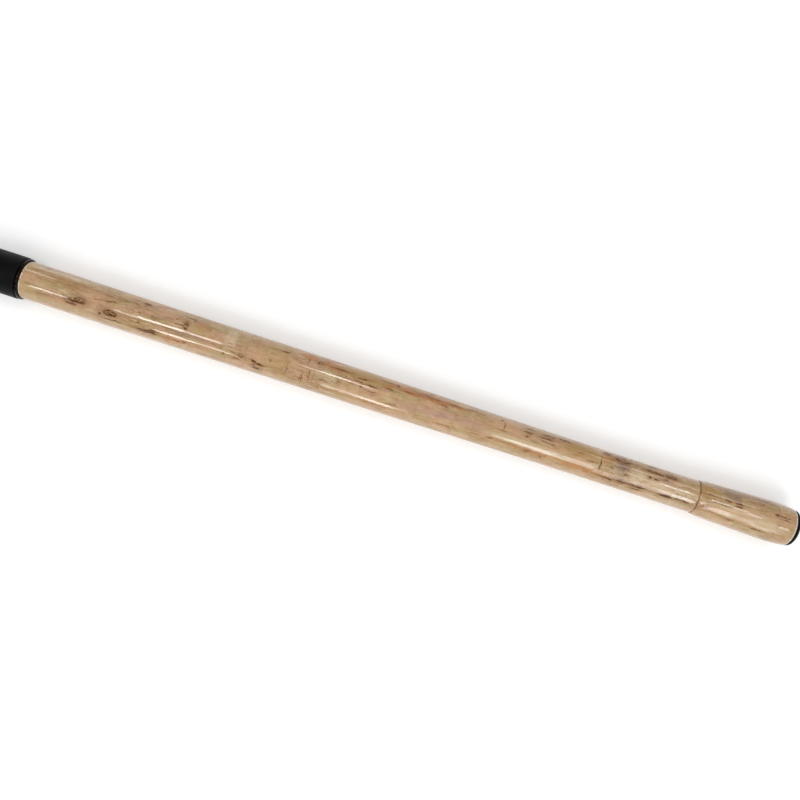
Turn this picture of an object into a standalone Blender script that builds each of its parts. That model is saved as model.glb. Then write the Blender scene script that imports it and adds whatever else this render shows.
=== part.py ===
"""A two-piece carp rod with a full-length cork handle.

The rod lies along +X, with the origin at the centre of the butt cap's flat end.
Every piece is modelled with the guides straight up, and one empty then rolls the
whole rod onto its side, so that the butt guide and the reel seat touch one floor.
"""
import math
from collections import namedtuple

import bmesh
import bpy

# Overall sizes
ROD_LENGTH = 3.658
FERRULE_OVERLAP = 0.086

# Clearance between pieces that touch, are glued or are whipped on
GAP = 0.0003
# Running clearance of the sliding hood and the nut round the barrel
SLIDE_GAP = 0.0003

# Blank
BLANK_BUTT_R = 0.0079
BLANK_FERRULE_R = 0.0060
BLANK_WALL = 0.0012
FERRULE_WALL = 0.0010
TIP_R = 0.0013
TIP_WALL = 0.0006
TIP_SOLID_LENGTH = 0.15

# Butt cap
CAP_THICKNESS = 0.0030
CAP_R = 0.0122
CAP_FLAT_R = 0.0080
CAP_SPIGOT_LENGTH = 0.018

# Flared cork butt, measured from its rear end
SWELL_RINGS = 5
SWELL_RING_WIDTH = 0.01333
SWELL_REAR_R = 0.0120
SWELL_CREST_R = 0.0135
SWELL_CREST_AT = 0.017
SWELL_FRONT_R = 0.0120
SWELL_FRONT_DROP = 0.0006
SWELL_FRONT_ROUND = 0.0085

# Long cork grip
GRIP_RINGS = 36
RINGS_PER_SECTION = 3
GRIP_RING_WIDTH = 0.01297
WAIST_R = 0.0110
WAIST_END = 0.075
GRIP_R = 0.0122
GRIP_FULL_AT = 0.275
GRIP_FRONT_R = 0.0128

# Trim rings at the ends of the reel seat
REAR_TRIM_WIDTH = 0.0020
REAR_TRIM_INSET = 0.00035
FRONT_TRIM_LENGTH = 0.014
FRONT_TRIM_INSET = 0.0005
FRONT_TRIM_WALL = 0.0012

# Reel seat
ARBOR_WALL = 0.0010
BARREL_WALL = 0.0024
BED_CUT = 0.0009
HOOD_WALL = 0.0029
HOOD_EDGE = 0.0007
HOOD_RING_LENGTH = 0.026
HOOD_REACH = 0.038
POCKET_DEPTH = 0.011
POCKET_HEIGHT = 0.0055
POCKET_WIDTH = 0.0112
POCKET_WALL = 0.0013
POCKET_ROUND = 0.0016
BOSS_SKIRT = 0.0045
BOSS_SHOULDER_SHARE = 0.12
BOSS_BACK_SHARE = 0.45
BOSS_FLARE = 0.0012
BOSS_ROUND = 0.0035
KEYWAY_WIDTH = 0.0030
KEYWAY_DEPTH = 0.0009
KEYWAY_START = 0.002
KEY_SIDE_GAP = 0.0003
KEY_END_INSET = 0.001
ARBOR_LENGTH = 0.048
ARBOR_END_INSET = 0.006

# Sliding hood and lock nut
REEL_FOOT_ROOM = 0.058
SLIDING_HOOD_LENGTH = 0.024
SLIDING_RING_LENGTH = 0.012
SLIDING_HOOD_WALL = 0.0021
NUT_LENGTH = 0.012
NUT_WALL = 0.0025
THREAD_AHEAD = 0.0057
NUT_FLUTES = 12
NUT_FLUTE_DEPTH = 0.0007
NUT_EDGE = 0.0010
NUT_BORE_CHAMFER = 0.0004

# Whippings
WHIP_THICKNESS = 0.0006
WHIP_OVER_FOOT = 0.0005
WHIP_TAPER = 0.0020
WHIP_PAST_TOE = 0.004
HUMP_SPREAD = 3.2
HUMP_AT_CORNER = 0.78
HUMP_AT_END = 0.85
HUMP_AT_TOE = 0.36
FRONT_WHIP_LENGTH = 0.022
FERRULE_WHIP_LENGTH = 0.045
TIP_WHIP_LENGTH = 0.008

# Line clip
CLIP_AHEAD = 0.045
CLIP_LENGTH = 0.021
CLIP_FOOT_LENGTH = 0.008
CLIP_WIDTH = 0.0030
CLIP_THICKNESS = 0.0005
CLIP_LIFT = 0.0014
CLIP_NIP = 0.0001
CLIP_MOUTH = 0.0007

# Guides: the number of a ring is its outer diameter, from the butt guide to the tip ring
BUTT_RING = 0.050
TIP_SECTION_RINGS = (0.040, 0.030, 0.020, 0.016)
TIP_RING = 0.016
DOUBLE_FOOT_FROM = 0.030
RING_BORE_SHARE = 0.83
RING_DEPTH_BASE = 0.0018
RING_DEPTH_SHARE = 0.030
FRAME_WALL = 0.0012
FRAME_LIP = 0.0003
RISE_SHARE = 0.20
STRUT_R_BASE = 0.0007
STRUT_R_SHARE = 0.008
FLANK_ANGLE = math.radians(52)
LEAN_SHARE = 0.42
BRACE_SHARE = 0.30
FOOT_LENGTH_BASE = 0.010
FOOT_LENGTH_SHARE = 0.24
FOOT_WIDTH_BASE = 0.0022
FOOT_WIDTH_SHARE = 0.045
FOOT_THICKNESS = 0.0012
FOOT_TOE_THICKNESS = 0.0005
FOOT_TOE_SHARE = 0.62
FOOT_BARE = 0.0027
STRUT_INTO_FOOT = 0.0018
STRUT_SIDE_GAP = 0.00015
STRUT_LIFT = 0.0001
BRACE_LIFT = 0.0007
BRACE_BEND_SHARE = 0.15
# Shares of the way from a strut's heel to the hoop: along the rod, sideways and upwards
STRUT_BENDS = ((0.12, 0.02, 0.05), (0.62, 0.62, 0.55), (1.0, 1.0, 1.0))
BUTT_GUIDE_BEHIND_FERRULE = 0.60
FIRST_RING_AHEAD_OF_FERRULE = 0.144
SPACING_RATIO = 0.83

# Tip ring
TIP_TUBE_LENGTH = 0.012
TIP_TUBE_WALL = 0.0006
TIP_TUBE_END = 0.0012
TIP_TUBE_EDGE = 0.0004
TIP_RING_LEAN = 0.0060
TIP_RING_RISE = 0.0012
TIP_STRUT_REACH = 0.0060
TIP_STRUT_HALF_SPACE = 0.0008
TIP_FLANK_ANGLE = math.radians(38)

# How far a cutter runs on past the piece that it cuts
CUT_PAST = 0.001

# Facets
ROUND_STEPS = 24
RING_STEPS = 24
SMALL_STEPS = 16
SECTION_POINTS = 8
SMALL_SECTION_POINTS = 6
SMOOTH_ANGLE = math.radians(38)

# Places along the rod that follow from the sizes above
SECTION_LENGTH = (ROD_LENGTH + FERRULE_OVERLAP) / 2
FERRULE_X = SECTION_LENGTH - FERRULE_OVERLAP
CORK_REAR = CAP_THICKNESS + GAP
SWELL_LENGTH = SWELL_RINGS * SWELL_RING_WIDTH
GRIP_REAR = CORK_REAR + SWELL_LENGTH
CORK_FRONT = GRIP_REAR + GRIP_RINGS * GRIP_RING_WIDTH
TRIM_REAR = CORK_FRONT + GAP
SEAT_REAR = TRIM_REAR + REAR_TRIM_WIDTH + GAP
HOOD_MOUTH = SEAT_REAR + HOOD_REACH
SLIDING_MOUTH = HOOD_MOUTH + REEL_FOOT_ROOM
BED_FRONT = SLIDING_MOUTH + POCKET_DEPTH - GAP
SLIDING_HOOD_FRONT = SLIDING_MOUTH + SLIDING_HOOD_LENGTH
NUT_REAR = SLIDING_HOOD_FRONT + GAP
SEAT_FRONT = NUT_REAR + NUT_LENGTH + THREAD_AHEAD
FRONT_TRIM_REAR = SEAT_FRONT + GAP
FRONT_WHIP_REAR = FRONT_TRIM_REAR + FRONT_TRIM_LENGTH + GAP
CLIP_REAR = FRONT_WHIP_REAR + CLIP_AHEAD
BUTT_GUIDE_X = FERRULE_X - BUTT_GUIDE_BEHIND_FERRULE
TIP_TUBE_FRONT = ROD_LENGTH - TIP_RING_LEAN - (RING_DEPTH_BASE + RING_DEPTH_SHARE * TIP_RING) / 2
TIP_BLANK_FRONT = TIP_TUBE_FRONT - TIP_TUBE_END - GAP


def blend(low, high, share):
    """A value between two others, with a level start and end."""
    share = min(1.0, max(0.0, share))
    return low + (high - low) * share * share * (3 - 2 * share)


def lerp(low, high, share):
    return low + (high - low) * share


def butt_blank_r(x):
    """Outer radius of the butt section's blank at a place along the rod."""
    return lerp(BLANK_BUTT_R, BLANK_FERRULE_R, x / SECTION_LENGTH)


# Radii and heights of the reel seat, built outwards from the blank that it is glued round
SEAT_BORE_R = butt_blank_r(SEAT_REAR) + GAP + ARBOR_WALL + GAP
BARREL_R = SEAT_BORE_R + BARREL_WALL
BED_HEIGHT = BARREL_R - BED_CUT
POCKET_CEILING = BED_HEIGHT + POCKET_HEIGHT
HOOD_R = BARREL_R + HOOD_WALL


def ferrule_bore_r(x):
    """Bore of the tip section's ferrule, which keeps one clearance to the male taper."""
    return butt_blank_r(x) + GAP


def tip_blank_r(x):
    """Outer radius of the tip section's blank."""
    base = ferrule_bore_r(FERRULE_X) + FERRULE_WALL
    return lerp(base, TIP_R, (x - FERRULE_X) / (TIP_BLANK_FRONT - FERRULE_X))


def swell_r(along):
    """Radius of the flared butt, at a distance from its rear end."""
    if along < SWELL_CREST_AT:
        share = 1 - along / SWELL_CREST_AT
        return SWELL_REAR_R + (SWELL_CREST_R - SWELL_REAR_R) * math.sqrt(1 - share * share)
    slope = (along - SWELL_CREST_AT) / (SWELL_LENGTH - SWELL_CREST_AT)
    taper = lerp(SWELL_CREST_R, SWELL_FRONT_R, slope)
    into_edge = max(0.0, along - (SWELL_LENGTH - SWELL_FRONT_ROUND)) / SWELL_FRONT_ROUND
    return taper - SWELL_FRONT_DROP * into_edge * into_edge


def grip_r(along):
    """Radius of the long grip, at a distance from its rear end."""
    if along < GRIP_FULL_AT:
        return blend(WAIST_R, GRIP_R, (along - WAIST_END) / (GRIP_FULL_AT - WAIST_END))
    length = GRIP_RINGS * GRIP_RING_WIDTH
    return lerp(GRIP_R, GRIP_FRONT_R, (along - GRIP_FULL_AT) / (length - GRIP_FULL_AT))


def guide_places():
    """Places of the tip section's guides, whose spacing shrinks towards the tip by one ratio."""
    first = FERRULE_X + FIRST_RING_AHEAD_OF_FERRULE
    count = len(TIP_SECTION_RINGS)
    stretch = ROD_LENGTH - first
    step = stretch * (1 - SPACING_RATIO) / (1 - SPACING_RATIO**count)
    places = []
    place = first
    for _ in range(count):
        places.append(place)
        place += step
        step *= SPACING_RATIO
    return places


def frame_outer_r(ring):
    return ring / 2 + GAP + FRAME_WALL


def guide_height(ring, blank_r):
    """Distance from the rod's axis to the centre of a guide's ring."""
    return blank_r + RISE_SHARE * ring + frame_outer_r(ring)


def lying_angle():
    """Height angle of the guides when the butt guide and the seat's hood touch one floor."""
    height = guide_height(BUTT_RING, butt_blank_r(BUTT_GUIDE_X))
    return math.asin((frame_outer_r(BUTT_RING) - HOOD_R) / height)


# Scene

def clear_scene():
    for item in list(bpy.data.objects):
        bpy.data.objects.remove(item, do_unlink=True)


def collection(name):
    made = bpy.data.collections.new(name)
    bpy.context.scene.collection.children.link(made)
    return made


def material(name, colour, roughness, metallic=0.0, coat=0.0):
    made = bpy.data.materials.new(name)
    made.use_nodes = True
    shader = made.node_tree.nodes["Principled BSDF"]
    shader.inputs["Base Color"].default_value = (*colour, 1.0)
    shader.inputs["Roughness"].default_value = roughness
    shader.inputs["Metallic"].default_value = metallic
    shader.inputs["Coat Weight"].default_value = coat
    made.diffuse_color = (*colour, 1.0)
    return made


clear_scene()
ROD = collection("carp_rod")
CUTTERS = collection("cutters")
LIE = bpy.data.objects.new("rod_lying_on_its_side", None)
LIE.rotation_euler = (lying_angle() - math.pi / 2, 0, 0)
ROD.objects.link(LIE)

CORK = material("cork", (0.66, 0.40, 0.20), 0.35, coat=0.6)
CAP_BLACK = material("cap_black", (0.012, 0.012, 0.013), 0.35)
TRIM_BLACK = material("trim_black", (0.02, 0.012, 0.01), 0.12)
SEAT_BLACK = material("seat_black", (0.022, 0.022, 0.024), 0.55)
CARBON = material("carbon", (0.015, 0.015, 0.017), 0.25, coat=0.5)
ARBOR = material("arbor", (0.10, 0.10, 0.10), 0.8)
THREAD = material("whipping_thread", (0.012, 0.012, 0.014), 0.2, coat=0.8)
STEEL = material("guide_frame_steel", (0.05, 0.05, 0.055), 0.3, metallic=1.0)
CERAMIC = material("guide_ceramic", (0.03, 0.03, 0.035), 0.08)
CLIP_STEEL = material("clip_steel", (0.6, 0.6, 0.62), 0.25, metallic=1.0)


def place(item, group, finish=None):
    """Links an object under the empty that lays the rod down."""
    group.objects.link(item)
    item.parent = LIE
    if finish is not None:
        item.data.materials.append(finish)
    if group is CUTTERS:
        item.hide_render = True
        item.display_type = "WIRE"
    return item


# Shapes

def turned(name, outline, group=ROD, finish=None, steps=ROUND_STEPS, closed=True, height=0.0):
    """A turned piece on the rod's axis, or parallel to it at a height.

    The outline is a list of (x, radius) that runs from the front to the rear on the outer side.
    """
    mesh = bpy.data.meshes.new(name)
    count = len(outline)
    edges = [(index, index + 1) for index in range(count - 1)]
    if closed:
        edges.append((count - 1, 0))
    mesh.from_pydata([(radius, 0, x) for x, radius in outline], edges, [])
    item = bpy.data.objects.new(name, mesh)
    place(item, group, finish)
    item.rotation_euler = (0, math.pi / 2, 0)
    item.location = (0, 0, height)
    screw = item.modifiers.new("turn", "SCREW")
    screw.axis = "Z"
    screw.steps = steps
    screw.render_steps = steps
    screw.use_merge_vertices = True
    screw.merge_threshold = 0.00001
    screw.use_smooth_shade = True
    return item


def sleeve(name, outer, bore_rear, bore_front, finish, **options):
    """A turned tube. Its outer side is a list of (x, radius) from the front to the rear."""
    outline = list(outer)
    outline.append((outer[-1][0], bore_rear))
    outline.append((outer[0][0], bore_front))
    return turned(name, outline, finish=finish, **options)


def lofted(name, sections, group=ROD, finish=None):
    """A closed skin over sections with equal numbers of points, each a loop of (x, y, z)."""
    shape = bmesh.new()
    loops = [[shape.verts.new(point) for point in section] for section in sections]
    count = len(loops[0])
    for rear, front in zip(loops, loops[1:]):
        for index in range(count):
            after = (index + 1) % count
            shape.faces.new((rear[index], rear[after], front[after], front[index]))
    shape.faces.new(reversed(loops[0]))
    shape.faces.new(loops[-1])
    bmesh.ops.recalc_face_normals(shape, faces=shape.faces)
    mesh = bpy.data.meshes.new(name)
    shape.to_mesh(mesh)
    shape.free()
    return place(bpy.data.objects.new(name, mesh), group, finish)


def block(name, low, high, group=CUTTERS):
    """A box between two corners."""
    shape = bmesh.new()
    bmesh.ops.create_cube(shape, size=1.0)
    for vert in shape.verts:
        for axis in range(3):
            vert.co[axis] = lerp(low[axis], high[axis], vert.co[axis] + 0.5)
    mesh = bpy.data.meshes.new(name)
    shape.to_mesh(mesh)
    shape.free()
    return place(bpy.data.objects.new(name, mesh), group)


def wire(name, points, radius):
    """A round rod along points, as a closed mesh that can be joined to a piece."""
    curve = bpy.data.curves.new(name + "_line", "CURVE")
    curve.dimensions = "3D"
    curve.bevel_depth = radius
    curve.bevel_resolution = 1
    curve.use_fill_caps = True
    spline = curve.splines.new("POLY")
    spline.points.add(len(points) - 1)
    for point, place_at in zip(spline.points, points):
        point.co = (*place_at, 1)
    line = bpy.data.objects.new(name + "_line", curve)
    CUTTERS.objects.link(line)
    evaluated = line.evaluated_get(bpy.context.evaluated_depsgraph_get())
    mesh = bpy.data.meshes.new_from_object(evaluated)
    shape = bmesh.new()
    shape.from_mesh(mesh)
    bmesh.ops.remove_doubles(shape, verts=shape.verts, dist=0.000001)
    bmesh.ops.recalc_face_normals(shape, faces=shape.faces)
    shape.to_mesh(mesh)
    shape.free()
    bpy.data.objects.remove(line, do_unlink=True)
    return place(bpy.data.objects.new(name, mesh), CUTTERS)


def combine(item, other, operation):
    """Adds an exact Boolean with a helper, which stays in the cutters' collection."""
    step = item.modifiers.new(other.name, "BOOLEAN")
    step.operation = operation
    step.solver = "EXACT"
    step.object = other


def shade(item):
    item.data.shade_smooth()
    item.data.set_sharp_from_angle(angle=SMOOTH_ANGLE)


# Handle

def butt_cap():
    """A domed button with a flat middle, on a spigot that fits the blank's bore."""
    spigot_r = butt_blank_r(CORK_REAR) - BLANK_WALL - GAP
    spigot_front = CAP_THICKNESS + CAP_SPIGOT_LENGTH
    outline = [(spigot_front, 0.0), (spigot_front, spigot_r), (CAP_THICKNESS, spigot_r)]
    dome_steps = 5
    for index in range(dome_steps + 1):
        angle = math.pi / 2 * index / dome_steps
        x = CAP_THICKNESS * (1 - math.sin(angle))
        radius = CAP_FLAT_R + (CAP_R - CAP_FLAT_R) * math.cos(angle)
        outline.append((x, radius))
    outline.append((0.0, 0.0))
    turned("butt_cap", outline, finish=CAP_BLACK, closed=False)


def cork_piece(name, rear, front, steps, radius_at, start):
    """One turned stretch of cork, from its rear to its front along the rod."""
    rear_edge = rear + GAP / 2
    front_edge = front - GAP / 2
    outer = []
    for index in range(steps, -1, -1):
        x = lerp(rear_edge, front_edge, index / steps)
        outer.append((x, radius_at(x - start)))
    bore = butt_blank_r(rear) + GAP
    sleeve(name, outer, bore, bore, CORK)


def handle():
    butt_cap()
    for index in range(SWELL_RINGS):
        rear = CORK_REAR + index * SWELL_RING_WIDTH
        rear_end = rear if index else rear - GAP / 2
        steps = 4 if index == 0 else 2
        cork_piece(f"swell_cork_ring_{index + 1}", rear_end, rear + SWELL_RING_WIDTH, steps,
                   swell_r, CORK_REAR)
    sections = GRIP_RINGS // RINGS_PER_SECTION
    width = RINGS_PER_SECTION * GRIP_RING_WIDTH
    for index in range(sections):
        rear = GRIP_REAR + index * width
        cork_piece(f"grip_cork_rings_{index + 1:02d}", rear, rear + width, 2, grip_r, GRIP_REAR)


# Blank

def blanks():
    """The two tapered tubes. The tip section's tube is an overfit ferrule at its rear end."""
    front = SECTION_LENGTH
    outer = [(front, butt_blank_r(front)), (CORK_REAR, butt_blank_r(CORK_REAR))]
    sleeve("butt_blank", outer, outer[1][1] - BLANK_WALL, outer[0][1] - BLANK_WALL, CARBON)
    bore_end = TIP_BLANK_FRONT - TIP_SOLID_LENGTH
    bore_step = SECTION_LENGTH + GAP
    outline = [
        (TIP_BLANK_FRONT, 0.0),
        (TIP_BLANK_FRONT, TIP_R),
        (FERRULE_X, tip_blank_r(FERRULE_X)),
        (FERRULE_X, ferrule_bore_r(FERRULE_X)),
        (bore_step, ferrule_bore_r(bore_step)),
        (bore_end, tip_blank_r(bore_end) - TIP_WALL),
        (bore_end, 0.0),
    ]
    turned("tip_blank", outline, finish=CARBON, closed=False)


# Reel seat

def arch(x, half_width, top, bottom, rounding):
    """A loop across the rod: flat below, with a round-shouldered top."""
    points = [(x, -half_width, bottom), (x, half_width, bottom)]
    corner_steps = 3
    for side in (1, -1):
        for index in range(corner_steps + 1):
            share = index / corner_steps if side > 0 else 1 - index / corner_steps
            angle = share * math.pi / 2
            y = side * (half_width - rounding + rounding * math.cos(angle))
            z = top - rounding + rounding * math.sin(angle)
            points.append((x, y, z))
    return points


def hood_boss(name, ring_end, mouth, group=CUTTERS):
    """The raised part of a hood, from low on its ring to the full height of its pocket's wall."""
    half = POCKET_WIDTH / 2 + POCKET_WALL
    top = POCKET_CEILING + POCKET_WALL
    skirt = BED_HEIGHT - BOSS_SKIRT
    back = lerp(ring_end, mouth, -BOSS_BACK_SHARE)
    shoulder = lerp(ring_end, mouth, BOSS_SHOULDER_SHARE)
    sections = [
        arch(back, half - BOSS_FLARE, HOOD_R - BOSS_FLARE, skirt, BOSS_ROUND / 2),
        arch(shoulder, half, top - BOSS_FLARE / 3, skirt, BOSS_ROUND),
        arch(mouth, half, top, skirt, BOSS_ROUND),
    ]
    return lofted(name, sections, group)


def pocket(name, deep_end, mouth):
    """The hollow that takes one end of a reel's foot. It runs on past the hood's mouth."""
    past = mouth + math.copysign(CUT_PAST, mouth - deep_end)
    half = POCKET_WIDTH / 2
    sections = [arch(x, half, POCKET_CEILING, BED_HEIGHT, POCKET_ROUND) for x in (deep_end, past)]
    return lofted(name, sections, CUTTERS)


def reamer(name, rear, front, radius):
    """A cutter that clears a bore along the rod's axis, a little past both ends."""
    outline = [
        (front + CUT_PAST, 0.0),
        (front + CUT_PAST, radius),
        (rear - CUT_PAST, radius),
        (rear - CUT_PAST, 0.0),
    ]
    return turned(name, outline, group=CUTTERS, closed=False)


def reel_seat_body():
    """Barrel with its fixed rear hood, a flat bed for the reel's foot and a keyway behind."""
    ring_end = SEAT_REAR + HOOD_RING_LENGTH
    outer = [
        (SEAT_FRONT, BARREL_R - HOOD_EDGE),
        (SEAT_FRONT - HOOD_EDGE, BARREL_R),
        (ring_end + HOOD_EDGE, BARREL_R),
        (ring_end, HOOD_R - 2 * HOOD_EDGE),
        (ring_end - 2 * HOOD_EDGE, HOOD_R),
        (SEAT_REAR + HOOD_EDGE, HOOD_R),
        (SEAT_REAR, HOOD_R - HOOD_EDGE),
    ]
    body = sleeve("reel_seat_body", outer, SEAT_BORE_R, SEAT_BORE_R, SEAT_BLACK)
    bed_low = (ring_end + HOOD_EDGE, -BARREL_R, BED_HEIGHT)
    bed_high = (BED_FRONT, BARREL_R, BARREL_R + CUT_PAST)
    combine(body, block("foot_bed_cut", bed_low, bed_high), "DIFFERENCE")
    combine(body, hood_boss("fixed_hood_boss", ring_end, HOOD_MOUTH), "UNION")
    combine(body, reamer("seat_bore", SEAT_REAR, SEAT_FRONT, SEAT_BORE_R), "DIFFERENCE")
    deep_end = HOOD_MOUTH - POCKET_DEPTH
    combine(body, pocket("fixed_hood_pocket", deep_end, HOOD_MOUTH), "DIFFERENCE")
    key_low = (ring_end + KEYWAY_START, -KEYWAY_WIDTH / 2, -BARREL_R - CUT_PAST)
    key_high = (SEAT_FRONT + CUT_PAST, KEYWAY_WIDTH / 2, -BARREL_R + KEYWAY_DEPTH)
    combine(body, block("keyway_cut", key_low, key_high), "DIFFERENCE")
    shade(body)


def sliding_hood():
    """The moving hood: a ring round the barrel, its pocket to the rear, and a key in the keyway."""
    bore_r = BARREL_R + SLIDE_GAP
    outer_r = bore_r + SLIDING_HOOD_WALL
    ring_rear = SLIDING_HOOD_FRONT - SLIDING_RING_LENGTH
    outer = [
        (SLIDING_HOOD_FRONT, outer_r - HOOD_EDGE),
        (SLIDING_HOOD_FRONT - HOOD_EDGE, outer_r),
        (ring_rear + HOOD_EDGE, outer_r),
        (ring_rear, outer_r - HOOD_EDGE),
    ]
    hood = sleeve("sliding_hood", outer, bore_r, bore_r, SEAT_BLACK)
    combine(hood, hood_boss("sliding_hood_boss", ring_rear, SLIDING_MOUTH), "UNION")
    deep_end = SLIDING_MOUTH + POCKET_DEPTH
    combine(hood, pocket("sliding_hood_pocket", deep_end, SLIDING_MOUTH), "DIFFERENCE")
    combine(hood, reamer("barrel_clearance", SLIDING_MOUTH, SLIDING_HOOD_FRONT, bore_r), "DIFFERENCE")
    key_half = KEYWAY_WIDTH / 2 - KEY_SIDE_GAP
    key_low = (ring_rear + KEY_END_INSET, -key_half, -bore_r - SLIDING_HOOD_WALL / 2)
    key_front = SLIDING_HOOD_FRONT - KEY_END_INSET
    key_high = (key_front, key_half, -BARREL_R + KEYWAY_DEPTH - SLIDE_GAP)
    combine(hood, block("sliding_hood_key", key_low, key_high), "UNION")
    shade(hood)


def lock_nut():
    """A fluted nut. Its outline across the rod is a wave of one flute after another."""
    bore_r = BARREL_R + SLIDE_GAP
    points_per_flute = 5
    count = NUT_FLUTES * points_per_flute

    def outline(x, shrink):
        loop = []
        for index in range(count):
            angle = 2 * math.pi * index / count
            wave = (0.5 + 0.5 * math.cos(NUT_FLUTES * angle)) ** 2
            radius = bore_r + NUT_WALL - shrink - NUT_FLUTE_DEPTH * wave
            loop.append((x, radius * math.sin(angle), radius * math.cos(angle)))
        return loop

    rear = NUT_REAR
    front = NUT_REAR + NUT_LENGTH
    sections = [
        outline(rear, NUT_EDGE),
        outline(rear + NUT_EDGE, 0.0),
        outline(front - NUT_EDGE, 0.0),
        outline(front, NUT_EDGE),
    ]
    nut = lofted("lock_nut", sections, finish=SEAT_BLACK)
    widened = bore_r + NUT_BORE_CHAMFER
    bore = turned(
        "nut_bore",
        [(front + CUT_PAST, 0.0), (front + CUT_PAST, widened), (front, widened),
         (front - NUT_BORE_CHAMFER, bore_r), (rear + NUT_BORE_CHAMFER, bore_r),
         (rear, widened), (rear - CUT_PAST, widened), (rear - CUT_PAST, 0.0)],
        group=CUTTERS, closed=False)
    combine(nut, bore, "DIFFERENCE")
    shade(nut)


def seat_fittings():
    """Trim rings at both ends of the seat, and the arbors that fill its bore."""
    edge = REAR_TRIM_WIDTH / 4
    trim_front = TRIM_REAR + REAR_TRIM_WIDTH
    trim_r = HOOD_R - REAR_TRIM_INSET
    outer = [
        (trim_front, trim_r - edge),
        (trim_front - edge, trim_r),
        (TRIM_REAR + edge, trim_r),
        (TRIM_REAR, trim_r - edge),
    ]
    bore = butt_blank_r(TRIM_REAR) + GAP
    sleeve("rear_trim_ring", outer, bore, bore, TRIM_BLACK)

    front = FRONT_TRIM_REAR + FRONT_TRIM_LENGTH
    bore = butt_blank_r(FRONT_TRIM_REAR) + GAP
    round_steps = 4
    outer = []
    for index in range(round_steps, -1, -1):
        share = index / round_steps
        radius = blend(BARREL_R - FRONT_TRIM_INSET, bore + FRONT_TRIM_WALL, share)
        outer.append((lerp(FRONT_TRIM_REAR, front, share), radius))
    sleeve("front_trim_ring", outer, bore, bore, TRIM_BLACK)

    for name, rear in (
        ("rear_seat_arbor", SEAT_REAR + ARBOR_END_INSET),
        ("front_seat_arbor", SEAT_FRONT - ARBOR_END_INSET - ARBOR_LENGTH),
    ):
        arbor_front = rear + ARBOR_LENGTH
        outer_r = SEAT_BORE_R - GAP
        bore = butt_blank_r(rear) + GAP
        sleeve(name, [(arbor_front, outer_r), (rear, outer_r)], bore, bore, ARBOR)


# Guides

def ring_depth(ring):
    return RING_DEPTH_BASE + RING_DEPTH_SHARE * ring


def strut_r(ring):
    return STRUT_R_BASE + STRUT_R_SHARE * ring


def foot_length(ring):
    return FOOT_LENGTH_BASE + FOOT_LENGTH_SHARE * ring


def foot_width(ring):
    return FOOT_WIDTH_BASE + FOOT_WIDTH_SHARE * ring


Foot = namedtuple("Foot", "heel toe floor width toe_width thickness toe_thickness")


def guide_foot(heel, toe, floor, ring):
    """A guide's foot, which thins and narrows from its heel, under the struts, to its toe."""
    width = foot_width(ring)
    return Foot(heel, toe, floor, width, width * FOOT_TOE_SHARE, FOOT_THICKNESS, FOOT_TOE_THICKNESS)


def foot_plate(name, foot):
    """The solid of a foot."""
    sections = []
    for x, width, thickness in (
        (foot.heel, foot.width, foot.thickness),
        (foot.toe, foot.toe_width, foot.toe_thickness),
    ):
        half = width / 2
        top = foot.floor + thickness
        sections.append([(x, -half, foot.floor), (x, half, foot.floor), (x, half, top), (x, -half, top)])
    return lofted(name, sections, CUTTERS)


def foot_notch(name, foot):
    """The room that a whipping leaves for a foot: the foot grown by a gap, down into the blank."""
    outwards = math.copysign(1.0, foot.toe - foot.heel)
    low = foot.floor - 2 * CUT_PAST
    sections = []
    for x, width, thickness in (
        (foot.heel - outwards * CUT_PAST, foot.width, foot.thickness),
        (foot.toe + outwards * GAP, foot.toe_width, foot.toe_thickness),
    ):
        half = width / 2 + GAP
        top = foot.floor + thickness + GAP
        sections.append([(x, -half, low), (x, half, low), (x, half, top), (x, -half, top)])
    return lofted(name, sections, CUTTERS)


def ceramic_ring(name, x, height, ring):
    """The ring that the line runs over, with a rounded section."""
    outer_r = ring / 2
    inner_r = outer_r * RING_BORE_SHARE
    middle = (outer_r + inner_r) / 2
    half_depth = ring_depth(ring) / 2
    outline = []
    points = SECTION_POINTS if ring >= DOUBLE_FOOT_FROM else SMALL_SECTION_POINTS
    for index in range(points):
        angle = math.pi * (2 * index + 1) / points
        outline.append((x + half_depth * math.cos(angle), middle + (outer_r - middle) * math.sin(angle)))
    turned(name, outline, finish=CERAMIC, steps=RING_STEPS, height=height)


def frame_band(name, x, height, ring):
    """The hoop that holds a ceramic ring."""
    half_depth = ring_depth(ring) / 2 - FRAME_LIP
    inner = ring / 2 + GAP
    outer = [(x + half_depth, frame_outer_r(ring)), (x - half_depth, frame_outer_r(ring))]
    return sleeve(name, outer, inner, inner, STEEL, steps=RING_STEPS, height=height)


def ream(frame, x, height, ring):
    """Clears the hoop's inside of the struts' ends, so that the ceramic ring fits."""
    reach = ring_depth(ring) + 4 * strut_r(ring)
    inner = ring / 2 + GAP
    cutter = turned(
        frame.name + "_ream",
        [(x + reach, 0.0), (x + reach, inner), (x - reach, inner), (x - reach, 0.0)],
        group=CUTTERS, steps=RING_STEPS, closed=False, height=height)
    combine(frame, cutter, "DIFFERENCE")


def plain_whipping(name, rear, front, blank_r, steps=ROUND_STEPS):
    """Thread round the blank alone, with its varnish."""
    base = blank_r + GAP + WHIP_THICKNESS
    thin = base - WHIP_THICKNESS / 2
    outer = [(front, thin), (front - WHIP_TAPER, base), (rear + WHIP_TAPER, base), (rear, thin)]
    sleeve(name, outer, blank_r + GAP, blank_r + GAP, THREAD, steps=steps)


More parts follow.
